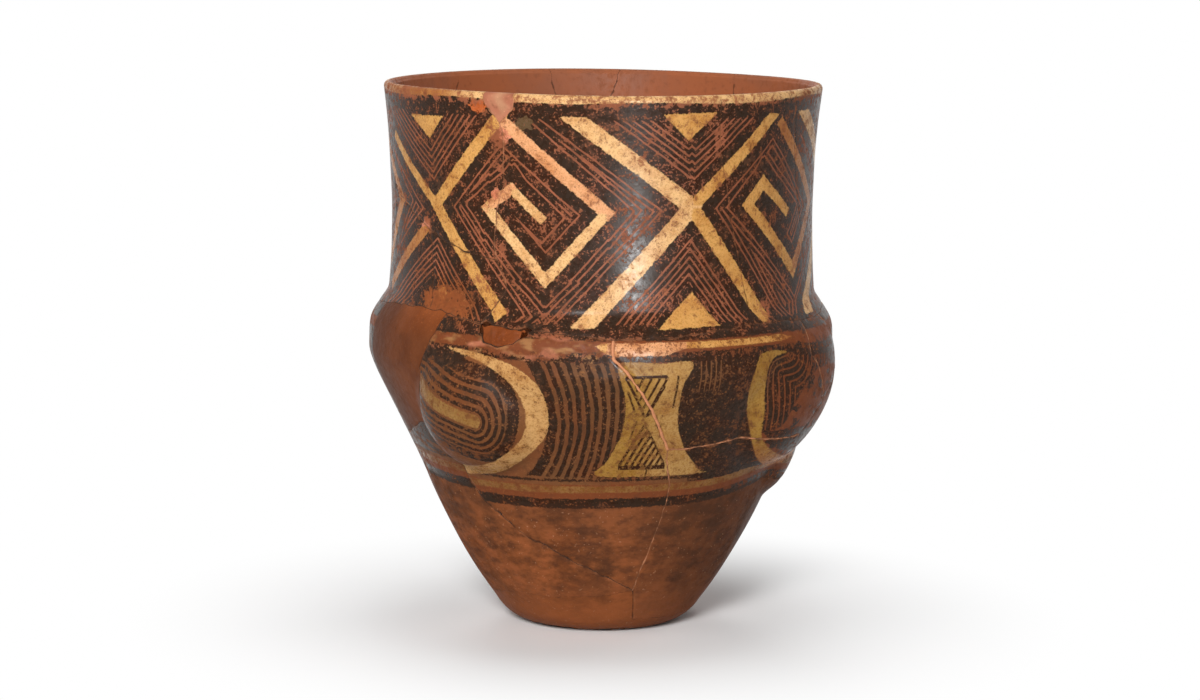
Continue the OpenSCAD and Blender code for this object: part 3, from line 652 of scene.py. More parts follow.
def paintOn(name, theta, v):
    # all painted zones from the rim down, as attributes of the outer wall
    if name == "body_left":
        v = v - bands["setHigh"] * soften(-theta, *bands["setFrom"])     # this sherd was set a little high
    t = np.where(theta > bands["seam"], theta - 360, theta)
    n = len(t)
    cream, tint, phase, gap = neckPaint(t, v)
    paint = {"clay": np.zeros(n), "cream": cream, "creamTint": tint, "phase": phase, "gap": gap,
             "dark": np.full(n, 5.0), "ground": np.tile(lin("redLine"), (n, 1)), "ink": np.full(n, -9.0)}
    low = v < bands["neckFoot"]
    frieze = bellyPaint(name, theta[low], v[low])
    shoulderBand(frieze, t[low], v[low])
    lowLines(frieze, t[low], v[low])
    if name == "body_left":
        # plain dark beside the eye, left of the lug: dark paint, made solid there as painted shade
        beside = soften(v[low], *bands["besideHigh"]) * soften(-t[low], *bands["besideLeft"])
        frieze["dark"] = np.where(beside > 0.5, 4, frieze["dark"])
        frieze["gap"] = frieze["gap"] * (1 - beside)
        frieze["cream"] = np.where(beside > 0.5, -9, frieze["cream"])
    for key, part in frieze.items():
        paint[key][low] = part
    a, z = bands["earth"]
    far = np.hypot((t - a) / bands["earthWide"], (v - z) / bands["earthTall"])
    paint["ground"] = fadeTo(paint["ground"], "bareClay", soften(-far, -1, -0.6))
    paint["wear"] = wearOf(t, v)
    return paint


# Sherds: each outline is filled with points on its outer and inner face and closed along the break
sherdLook = {
    "front": 1.1, "back": 2.0, "plain": 2.2, "inner": 4.5, "lipRow": 1.1,     # distances between points
    "fill": {"shoulder_chip": 0.8, "shoulder_fill": 1.5, "rim_fill": 1.0},
    "frontSpan": (-80, 85), "baseRows": 28,
    "wear": 0.45, "wearWide": 0.8, "chip": 0.9, "chipFrom": (0.3, 0.65), "chipWide": (-2.6, -0.4), "near": 6,
    "rough": 1.2, "tightRub": 0.08, "innerRub": 0.5, "lipRub": 6,
}
fills = {"rim_fill": "orange", "shoulder_chip": "chip", "shoulder_fill": "plaster"}
fillLook = {
    "litHigh": (203, 226), "litRight": (-66, -50), "shade": 0.62, "shadeLeft": (-74, -58),
    "stray": 2.4, "straySize": 6, "paleWide": (-29.5, -26.5, -26, -23), "paleHigh": (354, 364),
}


def inset(loop):
    k = breakLook["perDegree"]
    p = loop[:, :2] * np.array([k, 1])
    run = np.roll(p, -1, 0) - np.roll(p, 1, 0)
    run /= np.maximum(np.hypot(run[:, 0], run[:, 1]), 1e-6)[:, None]
    wide = loop[:, 2] * breakLook["gap"] / 2
    for a, z in breakLook["holes"]:
        far = ((p[:, 0] - a * k) ** 2 + (p[:, 1] - z) ** 2) / breakLook["holeReach"] ** 2
        wide += breakLook["holeWide"] * np.exp(-far)
    shift = np.stack([-run[:, 1], run[:, 0]], -1) * wide[:, None]
    onTop = loop[:, 1] > topV - 0.01
    shift[onTop, 1] = 0
    return p + shift, onTop


def gridPoints(low, high, step):
    rows = []
    for i, y in enumerate(np.arange(low[1], high[1], step * 0.866)):
        xs = np.arange(low[0] + (i % 2) * step / 2, high[0], step)
        rows.append(np.stack([xs, np.full(len(xs), y)], -1))
    return np.vstack(rows)


def fillLoop(flat, step):
    low, high = flat.min(0), flat.max(0)
    points = gridPoints(low, high, step)
    if high[1] > lipZ:
        band = max(step, 1.2) * 1.2
        lipRows = gridPoints((low[0], lipZ - band), high, min(step, sherdLook["lipRow"]))
        points = np.vstack([points[points[:, 1] < lipZ - band - step * 0.5], lipRows])
    d = fromEdge(flat, points[:, 0], points[:, 1])
    near = np.where(points[:, 1] > lipZ - 3, 0.35, 0.6) * min(step, 2.5)
    points = points[d > near]
    n = len(flat)
    verts = [Vector(p) for p in np.vstack([flat, points])]
    co, _, faces, origin, _, _ = delaunay_2d_cdt(verts, [], [list(range(n))], 1, 1e-6, True)
    where = np.zeros(n, int)
    for i, sources in enumerate(origin):
        for s in sources:
            if s < n:
                where[s] = i
    co, faces = np.array([tuple(c) for c in co]), np.array(faces)
    onEdge = np.zeros(len(co), bool)
    onEdge[where] = True
    spans = np.flatnonzero(onEdge[faces].all(1))
    middle = co[faces[spans]].mean(1)
    outside = fromEdge(flat, middle[:, 0], middle[:, 1]) < 0
    return co, np.delete(faces, spans[outside], 0), where


def noiseAt(points, size):
    return np.array([noise.noise(Vector(p) / size) for p in points])


def buildMesh(name, co, faces, sharpLoops):
    mesh = bpy.data.meshes.new(name)
    mesh.from_pydata((co * mm).tolist(), [], faces)
    mesh.polygons.foreach_set("use_smooth", np.ones(len(mesh.polygons), bool))
    pairs = np.zeros(len(mesh.edges) * 2, int)
    mesh.edges.foreach_get("vertices", pairs)
    pairs = np.sort(pairs.reshape(-1, 2), 1)
    big = len(co) + 1
    sharp = np.concatenate([np.sort(np.stack([s, np.roll(s, -1)], -1), 1) for s in sharpLoops])
    hard = np.isin(pairs[:, 0] * big + pairs[:, 1], sharp[:, 0] * big + sharp[:, 1])
    mesh.edges.foreach_set("use_edge_sharp", hard)
    piece = bpy.data.objects.new(name, mesh)
    bpy.context.scene.collection.objects.link(piece)
    return piece


def setAttributes(piece, fields):
    for key, values in fields.items():
        if values.ndim == 2:
            layer = piece.data.attributes.new(key, "FLOAT_COLOR", "POINT")
            rgba = np.concatenate([values, np.ones((len(values), 1))], 1)
            layer.data.foreach_set("color", rgba.astype(np.float32).ravel())
        else:
            layer = piece.data.attributes.new(key, "FLOAT", "POINT")
            layer.data.foreach_set("value", values.astype(np.float32))


def wearDown(name, loop, flat, points):
    # distance from the break, how open that join is, how deep the face is worn there, and the unworn face
    v = points[:, 1]
    edge = np.maximum(fromEdge(flat, points[:, 0], v), 0)
    edge = np.where(v > lipZ - 2, np.maximum(edge, 2 * soften(v, lipZ - 2, lipZ + 1)), edge)
    face = wallPoints(points[:, 0] / breakLook["perDegree"], v)
    near = np.flatnonzero(edge < sherdLook["near"])
    chip, shown = np.zeros(len(v)), np.zeros(len(v))
    chip[near] = noiseAt(face[near], 9) + 0.6 * noiseAt(face[near], 3.2)
    gaps = np.hypot(points[near, None, 0] - flat[None, :, 0], points[near, None, 1] - flat[None, :, 1])
    shown[near] = loop[gaps.argmin(1), 2]
    sink = sherdLook["wear"] * shown * np.exp(-(edge / sherdLook["wearWide"]) ** 2) * (1 + 0.8 * chip)
    chipped = sherdLook["chip"] * shown * soften(chip, *sherdLook["chipFrom"])
    sink += chipped * soften(-edge, *sherdLook["chipWide"])
    if name == "shoulder_chip":     # rough patch of filler
        sink += sherdLook["rough"] * (0.6 + noiseAt(face, 7) + 0.6 * noiseAt(face, 2.6))
    return edge, shown, np.maximum(sink, 0), face


def fillTint(name, theta, v, face):
    # plaster tint, warmer or paler in places; on the shoulder fill the warmer top and right are painted light
    # and the darker left is painted shade
    colour = np.tile(lin(fills[name]), (len(v), 1))
    if name == "shoulder_fill":
        # painted light and shade: lighter and warmer towards the top and right, darker towards the left edge
        warm = soften(v, *fillLook["litHigh"]) * soften(theta, *fillLook["litRight"])
        lit = soften(theta, *fillLook["shadeLeft"])
        colour = fadeTo(colour, "bareClay", warm)
        colour = colour * (fillLook["shade"] + (1 - fillLook["shade"]) * lit)[:, None]
    if name == "rim_fill":
        stray = fillLook["stray"] * noiseAt(face, fillLook["straySize"])
        pale = window(theta + stray, *fillLook["paleWide"]) * soften(v + 3 * stray, *fillLook["paleHigh"])
        colour = fadeTo(np.tile(0.7 * lin("pink"), (len(v), 1)), "chalk", pale)
    return colour


def makeSherd(name, loop):
    k = breakLook["perDegree"]
    flat, onTop = inset(loop)
    isPainted = slots[name] == "painted_clay"
    low, high = sherdLook["frontSpan"]
    step = sherdLook["front"] if low < loop[:, 0].mean() < high else sherdLook["back"]
    if not isPainted:
        step = sherdLook["fill"].get(name, sherdLook["plain"])
    outFlat, outFaces, outEdge = fillLoop(flat, step)
    inFlat, inFaces, inEdge = fillLoop(flat, sherdLook["inner"])
    theta, v = outFlat[:, 0] / k, outFlat[:, 1]
    edge, shown, sink, face = wearDown(name, loop, flat, outFlat)
    outer = wallPoints(theta, v, False, sink)
    inner = wallPoints(inFlat[:, 0] / k, inFlat[:, 1], True)

    # weld both faces on the lip, close the break between them
    n = len(outer)
    number = np.arange(n, n + len(inner))
    number[inEdge[onTop]] = outEdge[onTop]
    inLoop = number[inEdge]
    sides = []
    for i in range(len(flat)):
        j = (i + 1) % len(flat)
        if not (onTop[i] and onTop[j]):
            sides.append(list(dict.fromkeys((outEdge[i], inLoop[i], inLoop[j], outEdge[j]))))
    used = np.unique(np.concatenate([outFaces.ravel(), number[inFaces].ravel()]))
    renumber = np.zeros(n + len(inner), int)
    renumber[used] = np.arange(len(used))
    faces = outFaces.tolist() + number[inFaces[:, ::-1]].tolist() + sides
    faces = [[int(renumber[i]) for i in corners] for corners in faces]
    piece = buildMesh(name + "_sherd", np.vstack([outer, inner])[used], faces,
                      [renumber[outEdge[~onTop]], renumber[inLoop[~onTop]]])

    # paint on the outer face, plain clay within, both rubbed dark along the joins
    total = len(used)
    inV = inFlat[:, 1]
    lipRub = sherdLook["lipRub"]
    inRub = np.maximum(fromEdge(flat, inFlat[:, 0], inV), lipRub * soften(inV, lipZ - lipRub, lipZ - 1))
    rub = np.concatenate([edge / (sherdLook["tightRub"] + shown), inRub / sherdLook["innerRub"]])
    fields = {"within": (np.arange(total) >= n).astype(float), "edge": rub[used]}
    if isPainted:
        for key, values in paintOn(name, theta, v).items():
            unpainted = -9.0 if key in ("cream", "dark", "ink") else 0.0
            fields[key] = np.full((total, *values.shape[1:]), unpainted)
            fields[key][:n] = np.clip(values, -30, 30)
    if name in fills:
        fields["ground"] = np.tile(lin(fills[name]), (total, 1))
        fields["ground"][:n] = fillTint(name, theta, v, face)
    setAttributes(piece, fields)
    return piece


def makeBase():
    # floor and foot: rings from the middle out to the break, below and above
    ringLine, _ = lines["ring"]
    theta = ringLine[:-1, 0]
    v = ringLine[:-1, 1] - ringLine[:-1, 2] * breakLook["gap"] / 2
    a = np.radians(theta)
    count, rows, flatR = len(theta), sherdLook["baseRows"], pot["baseR"]
    co, faces = [], []
    for inner in (False, True):
        level, dish = (pot["wall"][0], 0) if inner else (0, pot["dish"])
        for row in range(1, rows + 1):
            along = row / rows * (flatR + v)
            high = level + dish * np.clip(1 - along / pot["dishR"], 0, 1)
            plate = np.stack([along * np.sin(a), -along * np.cos(a), high], -1)
            wall = wallPoints(theta, np.maximum(along - flatR, 0), inner)
            co.append(np.where((along > flatR)[:, None], wall, plate))
        co.append(np.array([[0, 0, level + dish]]))
    size = rows * count + 1
    out, inn = size - 1 - count, 2 * size - 1 - count
    for i in range(count):
        j = (i + 1) % count
        for part, flip in ((0, 1), (size, -1)):
            for low in range(part, part + size - 1 - count, count):
                faces.append([low + i, low + count + i, low + count + j, low + j][::flip])
            faces.append([part + size - 1, part + i, part + j][::flip])
        faces.append([out + i, inn + i, inn + j, out + j])
    co = np.vstack(co)
    brinks = [np.arange(first, first + count) for first in (out, inn)]
    piece = buildMesh("base_disc_sherd", co, faces, brinks)
    edge = np.full(len(co), 9.0)
    edge[out:out + count] = 0
    setAttributes(piece, {"within": (np.arange(len(co)) >= size).astype(float), "edge": edge})
    return piece


# Shader maths: a wire adds Math nodes when it is used in an expression
class Wire:
    def __init__(self, tree, socket=None):
        self.tree = tree
        self.socket = socket

    def add(self, kind, settings=None, sockets=None, out=0):
        node = self.tree.nodes.new(kind)
        for key, value in (settings or {}).items():
            setattr(node, key, value)
        for key, value in (sockets or {}).items():
            if isinstance(value, Wire):
                self.tree.links.new(value.socket, node.inputs[key])
            else:
                node.inputs[key].default_value = value
        return Wire(self.tree, node.outputs[out])

    def maths(self, operation, a, b=0.0):
        return self.add("ShaderNodeMath", {"operation": operation}, {0: a, 1: b})

    def __add__(self, other):
        return self.maths("ADD", self, other)

    def __sub__(self, other):
        return self.maths("SUBTRACT", self, other)

    def __rsub__(self, other):
        return self.maths("SUBTRACT", other, self)

    def __mul__(self, other):
        return self.maths("MULTIPLY", self, other)

    def __truediv__(self, other):
        return self.maths("DIVIDE", self, other)

    __radd__ = __add__
    __rmul__ = __mul__

    def attribute(self, name, colour=False):
        return self.add("ShaderNodeAttribute", {"attribute_name": name}, out=0 if colour else 2)

    def noise(self, place, scale, detail=3.0, rough=0.55):
        return self.add("ShaderNodeTexNoise", None,
                        {"Vector": place, "Scale": scale, "Detail": detail, "Roughness": rough})

    def step(self, low, high):
        return self.add("ShaderNodeMapRange", {"interpolation_type": "SMOOTHSTEP"},
                        {"Value": self, "From Min": low, "From Max": high})

    def mix(self, amount, a, b, blend="MIX"):
        a, b = ((*c, 1) if not isinstance(c, Wire) else c for c in (a, b))
        settings = {"data_type": "RGBA", "blend_type": blend}
        return self.add("ShaderNodeMix", settings, {0: amount, 6: a, 7: b}, 2)

    def stain(self, amount, colour, factor):
        return self.mix(amount, colour, self.mix(1.0, colour, factor, "MULTIPLY"))


# Materials: colours are linear, places and depths are in metres
def newMaterial(name, specular):
    material = bpy.data.materials.new(name)
    material.use_nodes = True
    tree = material.node_tree
    shader = tree.nodes["Principled BSDF"]
    shader.inputs["Specular IOR Level"].default_value = specular
    place = Wire(tree).add("ShaderNodeTexCoord", out="Object")
    return material, Wire(tree), shader, place


def finishShader(w, shader, colour, roughness, height, depth, strength=0.6):
    w.tree.links.new(colour.socket, shader.inputs["Base Color"])
    w.tree.links.new(roughness.socket, shader.inputs["Roughness"])
    bump = w.add("ShaderNodeBump", None, {"Strength": strength, "Distance": depth, "Height": height})
    w.tree.links.new(bump.socket, shader.inputs["Normal"])


# Body clay: red-brown, darker in smudges that were wiped slantwise, with fire clouds, the front one also
# painted shade, a few pale grits, and painted light near the foot
clayLook = {
    "gloss": 0.46, "specular": 0.05, "grain": 0.0007,
    "rust": (0.27, 0.080, 0.024), "wiped": (0.085, 0.030, 0.011), "soot": (0.068, 0.026, 0.012),
    "smear": (0.055, 0.020, 0.009), "bright": (0.34, 0.100, 0.032), "rubbed": (0.30, 0.090, 0.030),
    "fireAndShade": (0.050, 0.020, 0.009), "grit": (0.40, 0.19, 0.10), "edge": (0.055, 0.021, 0.010),
    "core": (0.19, 0.060, 0.026),
    "cloudsAndShade": [((0.085, -0.055, 0.065), 0.10), ((-0.06, 0.09, 0.05), 0.09)],
}


def stretched(w, place, tilt, scale):
    return w.add("ShaderNodeMapping", None, {"Vector": place, "Rotation": (0.0, tilt, 0.0), "Scale": scale})


def smudgedClay(w, place):
    look = clayLook
    broad, blotch = w.noise(place, 60, 4, 0.6), w.noise(place, 17, 4, 0.62)
    wiped = w.noise(stretched(w, place, 0.5, (40.0, 40.0, 17.0)), 1.0, 5, 0.65)
    colour = w.mix(blotch.step(0.38, 0.64), lin("clay"), look["rust"])
    colour = w.mix(wiped.step(0.40, 0.70) * 0.72, colour, look["wiped"])
    colour = w.mix(broad.step(0.48, 0.70) * 0.6, colour, look["soot"])
    mottle = w.noise(stretched(w, place, -0.6, (75.0, 75.0, 140.0)), 1.0, 4, 0.7)
    colour = w.mix(mottle.step(0.45, 0.68) * 0.66, colour, look["smear"])
    colour = w.mix((1 - mottle).step(0.48, 0.70) * 0.55, colour, look["bright"])
    high = w.add("ShaderNodeSeparateXYZ", None, {"Vector": place}, 2)
    colour = w.mix(high.step(0.060, 0.098) * 0.4, colour, look["wiped"])     # darker under the belly
    # lighter towards the foot: painted light from the floor below, over clay rubbed at the foot
    rubbed = (1 - (high + (broad - 0.5) * 0.03).step(0.012, 0.05)) * 0.7
    colour = w.mix(rubbed, colour, look["rubbed"])
    # two dark clouds: a fire cloud at the back left, and on the front right a fire cloud that also serves as
    # painted shade on the side turned from the key lamp
    for spot, wide in look["cloudsAndShade"]:
        far = w.add("ShaderNodeVectorMath", {"operation": "DISTANCE"}, {0: place, 1: spot}, "Value")
        cloudShade = (1 - (far + (blotch - 0.5) * 0.06).step(0.2 * wide, wide)) * 0.55
        colour = w.mix(cloudShade, colour, look["fireAndShade"])
    return w.mix(w.noise(place, 480, 1).step(0.68, 0.76) * 0.55, colour, look["grit"])


def plainClay():
    material, w, shader, place = newMaterial("plainClay", clayLook["specular"])
    mid, blotch = w.noise(place, 240, 3), w.noise(place, 24, 4, 0.6)
    rub = (1.2 - w.attribute("edge") + (mid - 0.5) * 6).step(0, 1.4)
    colour = w.mix(rub * 0.6, smudgedClay(w, place), clayLook["edge"])
    core = w.mix(blotch.step(0.35, 0.68), lin("inside"), clayLook["core"])
    colour = w.mix(w.attribute("within"), colour, core)
    rough = clayLook["gloss"] + (mid - 0.5) * 0.3
    finishShader(w, shader, colour, rough, w.noise(place, 700, 2) * 0.5 + mid, clayLook["grain"])
    return material


# Burnished clay under dark paint and pale slip, worn and speckled
paintLook = {
    "edge": 3.4, "speck": 0.60, "gloss": 0.29, "specular": 0.09, "grain": 0.00045, "relief": 0.2,
    "shade": (0.075, 0.029, 0.013), "redTone": (0.085, 0.034, 0.016),
    "crack": (0.06, 0.023, 0.010), "rubbed": (0.27, 0.095, 0.038),
    "core": (0.27, 0.092, 0.045), "coreShade": (0.16, 0.055, 0.026),
}


def paintedClay():
    look = paintLook
    material, w, shader, place = newMaterial("paintedClay", look["specular"])
    fine, mid = w.noise(place, 700, 2), w.noise(place, 240, 3)
    broad, blotch = w.noise(place, 75, 3), w.noise(place, 24, 4, 0.6)
    wear, bareClay, within = w.attribute("wear"), w.attribute("clay"), w.attribute("within")
    stray = (mid - 0.5) * look["edge"] + (fine - 0.5) * (0.6 * look["edge"])
    lost = fine + (mid - 0.5) * 0.8 + (broad - 0.5) * 0.5 + wear * 0.25

    ground = w.mix(blotch.step(0.35, 0.65) * 0.6, w.attribute("ground", True), lin("redClay"))
    ground = w.mix(mid.step(0.45, 0.75) * 0.4, ground, look["shade"])
    ground = w.mix(fine.step(0.60, 0.72) * 0.3, ground, lin("ochre"))
    ground = w.mix(bareClay, ground, smudgedClay(w, place))

    # dark paint, thin along the lines that are left open and gone where it is worn
    tone = w.mix(broad.step(0.35, 0.7), lin("dark"), lin("umber"))
    tone = w.mix((blotch + (mid - 0.5) * 0.9).step(0.56, 0.8) * 0.7, tone, look["redTone"])
    gap = w.attribute("gap")
    wave = w.maths("FRACT", w.attribute("phase") + (broad - 0.5) * gap * 1.2)
    offLine = w.maths("ABSOLUTE", wave - 0.5)
    bared = (gap * 0.5 + (mid - 0.5) * 0.2 - offLine).step(-0.07, 0.06) * gap.step(0.03, 0.12)
    dark = (w.attribute("dark") + stray).step(-0.4, 0.4)
    dark = dark * (1 - bared * (0.45 + broad * 0.8))
    dark = dark * (1 - lost.step(look["speck"], 0.74) * 0.8)
    dark = dark * (1 - (wear + (mid - 0.5) * 1.6 + (broad - 0.5) * 0.8).step(0.45, 0.85))
    colour = w.mix(dark, ground, tone)

    # pale slip, stained unevenly, and strokes on it
    slip = w.attribute("creamTint", True)
    for amount, factor in ((broad.step(0.38, 0.72) * 0.75, (0.72, 0.56, 0.40)),
                           (mid.step(0.50, 0.74) * 0.6, (0.52, 0.38, 0.26)),
                           ((1 - fine).step(0.50, 0.62) * 0.5, (0.60, 0.48, 0.34)),
                           (fine.step(0.56, 0.70) * 0.4, (1.25, 1.3, 1.35))):
        slip = w.stain(amount, slip, factor)
    cream = (w.attribute("cream") + stray * 0.8).step(-0.4, 0.4)
    cream = cream * (1 - lost.step(look["speck"], 0.75) * 0.8)
    cream = cream * (1 - (wear + (mid - 0.5) * 1.4 + (broad - 0.5) * 0.6).step(0.62, 1.0) * 0.9)
    colour = w.mix(cream, colour, slip)
    ink = (w.attribute("ink") + stray * 0.3).step(-0.35, 0.35) * (1 - lost.step(0.56, 0.7) * 0.8)
    colour = w.mix(ink, colour, lin("umber"))

    # plain clay within, and rubbed joins
    core = w.mix(blotch.step(0.38, 0.66), lin("inside"), look["core"])
    core = w.mix(mid.step(0.5, 0.75) * 0.35, core, look["coreShade"])
    colour = w.mix(within, colour, core)
    rub = (1.5 - w.attribute("edge") + (mid - 0.5) * 6).step(0, 1.6)
    crack = w.mix(broad.step(0.4, 0.6) * (1 - within), look["crack"], look["rubbed"])
    colour = w.mix(rub * 0.65, colour, crack)

    unpainted = (1 - dark) * (1 - cream)
    rough = look["gloss"] + (mid - 0.5) * 0.35 + lost.step(0.5, 0.75) * 0.2
    rough = rough + unpainted * 0.16 + bareClay * 0.22
    height = (fine * 0.5 + mid) * (1 + bareClay * 2) + dark * 0.12
    finishShader(w, shader, colour, rough, height, look["grain"], look["relief"])
    return material


# Fills: toned plaster, smooth and matt
plasterLook = {
    "gloss": 0.5, "specular": 0.05, "grain": 0.0006,
    "dull": (0.55, 0.5, 0.46), "pale": (1.5, 1.5, 1.5), "dirt": (0.07, 0.028, 0.013),
}


def tonedPlaster():
    material, w, shader, place = newMaterial("tonedPlaster", plasterLook["specular"])
    fine, mid, blotch = w.noise(place, 800, 2), w.noise(place, 200, 3), w.noise(place, 26, 4, 0.6)
    base = w.attribute("ground", True)
    colour = w.stain(blotch.step(0.35, 0.72) * 0.8, base, plasterLook["dull"])
    pale = w.mix(1.0, base, plasterLook["pale"], "MULTIPLY")
    colour = w.mix(fine.step(0.6, 0.75) * 0.5, colour, pale)
    colour = w.mix(mid.step(0.58, 0.75) * 0.4, colour, plasterLook["dirt"])
    rough = plasterLook["gloss"] + (mid - 0.5) * 0.3
    finishShader(w, shader, colour, rough, fine * 0.4 + mid, plasterLook["grain"])
    return material


# Putty in the joins: dark with dirt, orange where it is fresh
puttyLook = {
    "gloss": 0.6, "specular": 0.1, "grain": 0.0005,
    "dirt": (0.032, 0.015, 0.008), "fresh": (0.56, 0.23, 0.11), "speck": (0.24, 0.10, 0.045),
}


def joinPutty():
    material, w, shader, place = newMaterial("joinPutty", puttyLook["specular"])
    fine, mid = w.noise(place, 900, 2), w.noise(place, 180, 3)
    warm = (w.attribute("warm") + (mid - 0.5) * 0.9).step(0.2, 0.7)
    colour = w.mix(warm, puttyLook["dirt"], puttyLook["fresh"])
    colour = w.mix(fine.step(0.52, 0.7) * 0.35, colour, puttyLook["speck"])
    rough = puttyLook["gloss"] + (mid - 0.5) * 0.3
    finishShader(w, shader, colour, rough, fine + mid, puttyLook["grain"])
    return material


finishes = {"painted_clay": paintedClay(), "plain_clay": plainClay(), "plaster": tonedPlaster(),
            "putty": joinPutty()}
print("finishes mixed,", len(finishes))


def fasten(piece, node):
    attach(piece, "root")
    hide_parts(node)


faceCount = 0
for name in [*sherds, "base_disc"]:
    piece = makeBase() if name == "base_disc" else makeSherd(name, sherds[name])
    piece.data.materials.append(finishes[slots[name]])
    fasten(piece, name)
    faceCount += len(piece.data.polygons)
print("sherds built,", faceCount, "faces")


# Putty: a bead of uneven width in every join, outside and inside; a join's warmth also swells its bead
putty = {
    "radius": 0.5, "uneven": 0.5, "lump": 190.0, "depth": 0.75, "sides": 7, "step": 1.4, "holeWide": 3.5,
    "plain": 0.7, "swell": 1.3, "cool": 0.15,
    "warm": {"mainRun": 0.9, "rightRun": 0.5, "mainLow": 0.45, "fillLeft": 0.5, "fillRight": 0.5,
             "neckA": 0.45, "neckC": 0.4, "slantLeft": 0.4, "lugLeft": 0.4, "lugRight": 0.4, "neckALow": 0.3},
}


def beadTree():
    tree = bpy.data.node_groups.new("puttyBead", "GeometryNodeTree")
    tree.interface.new_socket("Geometry", in_out="INPUT", socket_type="NodeSocketGeometry")
    ids = {}
    for label, kind in (("Radius", "Float"), ("Uneven", "Float"), ("Step", "Float"), ("Sides", "Int"),
                        ("Finish", "Material")):
        socket = tree.interface.new_socket(label, in_out="INPUT", socket_type="NodeSocket" + kind)
        ids[label] = socket.identifier
    tree.interface.new_socket("Geometry", in_out="OUTPUT", socket_type="NodeSocketGeometry")
    w = Wire(tree)
    given = {socket.name: Wire(tree, socket) for socket in tree.nodes.new("NodeGroupInput").outputs}
    path = w.add("GeometryNodeResampleCurve", {"mode": "LENGTH"},
                 {"Curve": given["Geometry"], "Length": given["Step"]})
    at = w.add("GeometryNodeInputPosition")
    lump = w.add("ShaderNodeTexNoise", None, {"Vector": at, "Scale": putty["lump"], "Detail": 2.0})
    swell = w.add("GeometryNodeInputRadius")     # set on the path
    size = given["Radius"] * swell * (1 + (lump - 0.5) * 4 * given["Uneven"])
    path = w.add("GeometryNodeStoreNamedAttribute", {"data_type": "FLOAT", "domain": "POINT"},
                 {"Geometry": path, "Name": "warm", "Value": (swell - putty["plain"]) / putty["swell"]})
    ring = w.add("GeometryNodeCurvePrimitiveCircle", None, {"Resolution": given["Sides"], "Radius": 1.0})
    bead = w.add("GeometryNodeCurveToMesh", None,
                 {"Curve": path, "Profile Curve": ring, "Scale": size, "Fill Caps": True})
    soft = w.add("GeometryNodeSetShadeSmooth", None, {"Geometry": bead})
    real = w.add("GeometryNodeRealizeInstances", None, {"Geometry": soft})
    done = w.add("GeometryNodeSetMaterial", None, {"Geometry": real, "Material": given["Finish"]})
    tree.links.new(done.socket, tree.nodes.new("NodeGroupOutput").inputs[0])
    return tree, ids


def joinPaths():
    paths = []
    for name, (points, _) in lines.items():
        theta, v = points[:, 0], points[:, 1]
        keep = np.ones(len(v), bool)
        for a, z in breakLook["holes"]:
            keep &= np.hypot((theta - a) * breakLook["perDegree"], v - z) > putty["holeWide"]
        outside = wallPoints(theta, v, False, np.full(len(v), putty["depth"]))
        inside = wallPoints(theta, v, True, np.full(len(v), -putty["depth"]))
        warm = putty["warm"].get(name, putty["cool"])
        if v[0] > lipZ:     # over the lip in one run
            paths.append((np.vstack([outside[keep][::-1], inside]), warm))
            continue
        kept = np.flatnonzero(keep)
        runs = np.split(kept, np.flatnonzero(np.diff(kept) > 1) + 1)
        paths.extend((outside[run], warm) for run in runs if len(run) > 2)
        paths.append((inside, warm))
    return paths


def makePutty():
    data = bpy.data.curves.new("joinPaths", "CURVE")
    data.dimensions = "3D"
    for points, warm in joinPaths():
        spline = data.splines.new("POLY")
        spline.points.add(len(points) - 1)
        spline.points.foreach_set("co", np.concatenate([points * mm, np.ones((len(points), 1))], 1).ravel())
        spline.points.foreach_set("radius", np.full(len(points), putty["plain"] + putty["swell"] * warm))
    source = bpy.data.objects.new("joinPaths", data)
    bpy.context.scene.collection.objects.link(source)
    tree, ids = beadTree()
    modifier = source.modifiers.new("bead", "NODES")
    modifier.node_group = tree
    modifier[ids["Radius"]] = putty["radius"] * mm
    modifier[ids["Uneven"]] = putty["uneven"]
    modifier[ids["Step"]] = putty["step"] * mm
    modifier[ids["Sides"]] = putty["sides"]
    modifier[ids["Finish"]] = finishes["putty"]
    graph = bpy.context.evaluated_depsgraph_get()
    mesh = bpy.data.meshes.new_from_object(source.evaluated_get(graph))
    piece = bpy.data.objects.new("join_filler_putty", mesh)
    bpy.context.scene.collection.objects.link(piece)
    bpy.data.objects.remove(source)
    return piece


beads = makePutty()
fasten(beads, "join_filler")
print("putty laid,", len(beads.data.polygons), "faces")


# Studio, in metres: pale floor that turns white away from the pot, soft lights, the photograph's view
studio = {"floor": 60.0, "floorZ": -0.0005, "paper": (0.93, 0.93, 0.93), "bounce": (0.6, 0.6, 0.6),
          "near": 0.11, "far": 0.34, "world": 0.08}
view = {"away": 2.34, "up": 0.514, "pitch": 7.8, "lens": 102.54, "roll": 0.58,
        "shiftX": -0.0006, "shiftY": -11 / 1200}
# three lamps give no highlight, and the last gives nothing else
lamps = {
    "key": {"at": (-0.4, -2.4, 1.2), "aim": 0.22, "size": (0.6, 0.9), "watts": 72},
    "top": {"at": (0.1, 0.2, 2.4), "aim": 0.2, "size": (1.5, 1.5), "watts": 14},
    "left": {"at": (-2.2, -1.2, 1.3), "aim": 0.2, "size": (1.0, 1.4), "watts": 8, "highlight": False},
    "right": {"at": (2.0, 1.6, 1.3), "aim": 0.2, "size": (1.0, 1.4), "watts": 10, "highlight": False},
    "back": {"at": (-0.5, 2.5, 1.4), "aim": 0.2, "size": (1.0, 1.4), "watts": 24, "highlight": False},
    "glare": {"at": (0.7, -2.3, 0.27), "aim": 0.25, "size": (0.22, 0.6), "watts": 85, "spread": False},
}


def seenWhite(w):
    # the white ground, for the camera and for what mirrors it
    kinds = ("Is Camera Ray", "Is Glossy Ray", "Is Transmission Ray")
    rays = [w.add("ShaderNodeLightPath", out=kind) for kind in kinds]
    return w.maths("MINIMUM", rays[0] + rays[1] + rays[2], 1.0)


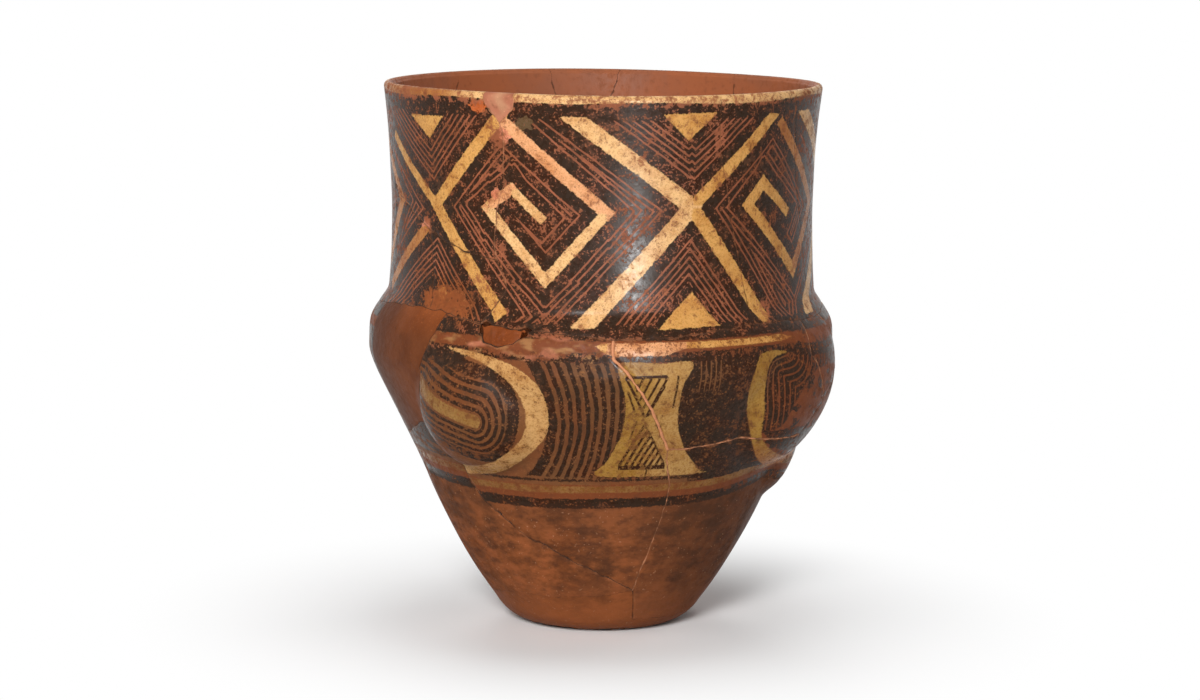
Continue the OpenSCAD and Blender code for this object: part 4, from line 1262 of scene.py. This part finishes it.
def makeStudio():
    half = studio["floor"] / 2
    mesh = bpy.data.meshes.new("floor")
    corners = [(-half, -half, 0), (half, -half, 0), (half, half, 0), (-half, half, 0)]
    mesh.from_pydata(corners, [], [(0, 1, 2, 3)])
    floor = bpy.data.objects.new("floor", mesh)
    floor.location.z = studio["floorZ"]
    bpy.context.scene.collection.objects.link(floor)
    paper, w, shader, place = newMaterial("paper", 0.1)
    shade = w.mix(w.add("ShaderNodeLightPath", out="Is Camera Ray"), studio["bounce"], studio["paper"])
    w.tree.links.new(shade.socket, shader.inputs["Base Color"])
    shader.inputs["Roughness"].default_value = 0.8
    away = w.add("ShaderNodeVectorMath", {"operation": "LENGTH"}, {0: place}, "Value")
    white = w.add("ShaderNodeEmission", None, {"Color": (1, 1, 1, 1), "Strength": 1.0})
    both = w.add("ShaderNodeMixShader", None, {0: away.step(studio["near"], studio["far"]) * seenWhite(w),
                                               1: Wire(w.tree, shader.outputs[0]), 2: white})
    w.tree.links.new(both.socket, w.tree.nodes["Material Output"].inputs["Surface"])
    mesh.materials.append(paper)
    world = bpy.data.worlds.new("studio")
    bpy.context.scene.world = world
    world.use_nodes = True
    sky = Wire(world.node_tree)
    level = studio["world"] + seenWhite(sky) * (1 - studio["world"])
    ground = world.node_tree.nodes["Background"]
    ground.inputs["Color"].default_value = (1, 1, 1, 1)
    world.node_tree.links.new(level.socket, ground.inputs["Strength"])


def makeLamp(name, lamp):
    data = bpy.data.lights.new(name, "AREA")
    data.shape = "RECTANGLE"
    data.size, data.size_y = lamp["size"]
    data.energy = lamp["watts"]
    light = bpy.data.objects.new(name, data)
    light.location = lamp["at"]
    aim = Vector((0, 0, lamp["aim"])) - Vector(lamp["at"])
    light.rotation_euler = aim.to_track_quat("-Z", "Y").to_euler()
    light.visible_glossy = lamp.get("highlight", True)
    light.visible_diffuse = lamp.get("spread", True)
    bpy.context.scene.collection.objects.link(light)


def makeCamera():
    data = bpy.data.cameras.new("view")
    data.lens, data.sensor_width = view["lens"], 36
    data.shift_x, data.shift_y = view["shiftX"], view["shiftY"]
    data.clip_end = 200
    camera = bpy.data.objects.new("view", data)
    camera.location = (0, -view["away"], view["up"])
    lean = Matrix.Rotation(math.radians(90 - view["pitch"]), 4, "X")
    spin = Matrix.Rotation(math.radians(view["roll"]), 4, "Z")
    camera.rotation_euler = (lean @ spin).to_euler()
    bpy.context.scene.collection.objects.link(camera)
    bpy.context.scene.camera = camera


makeStudio()
for name, lamp in lamps.items():
    makeLamp(name, lamp)
makeCamera()
bpy.context.scene.view_settings.view_transform = "Standard"
print("studio set,", len(lamps), "lamps")
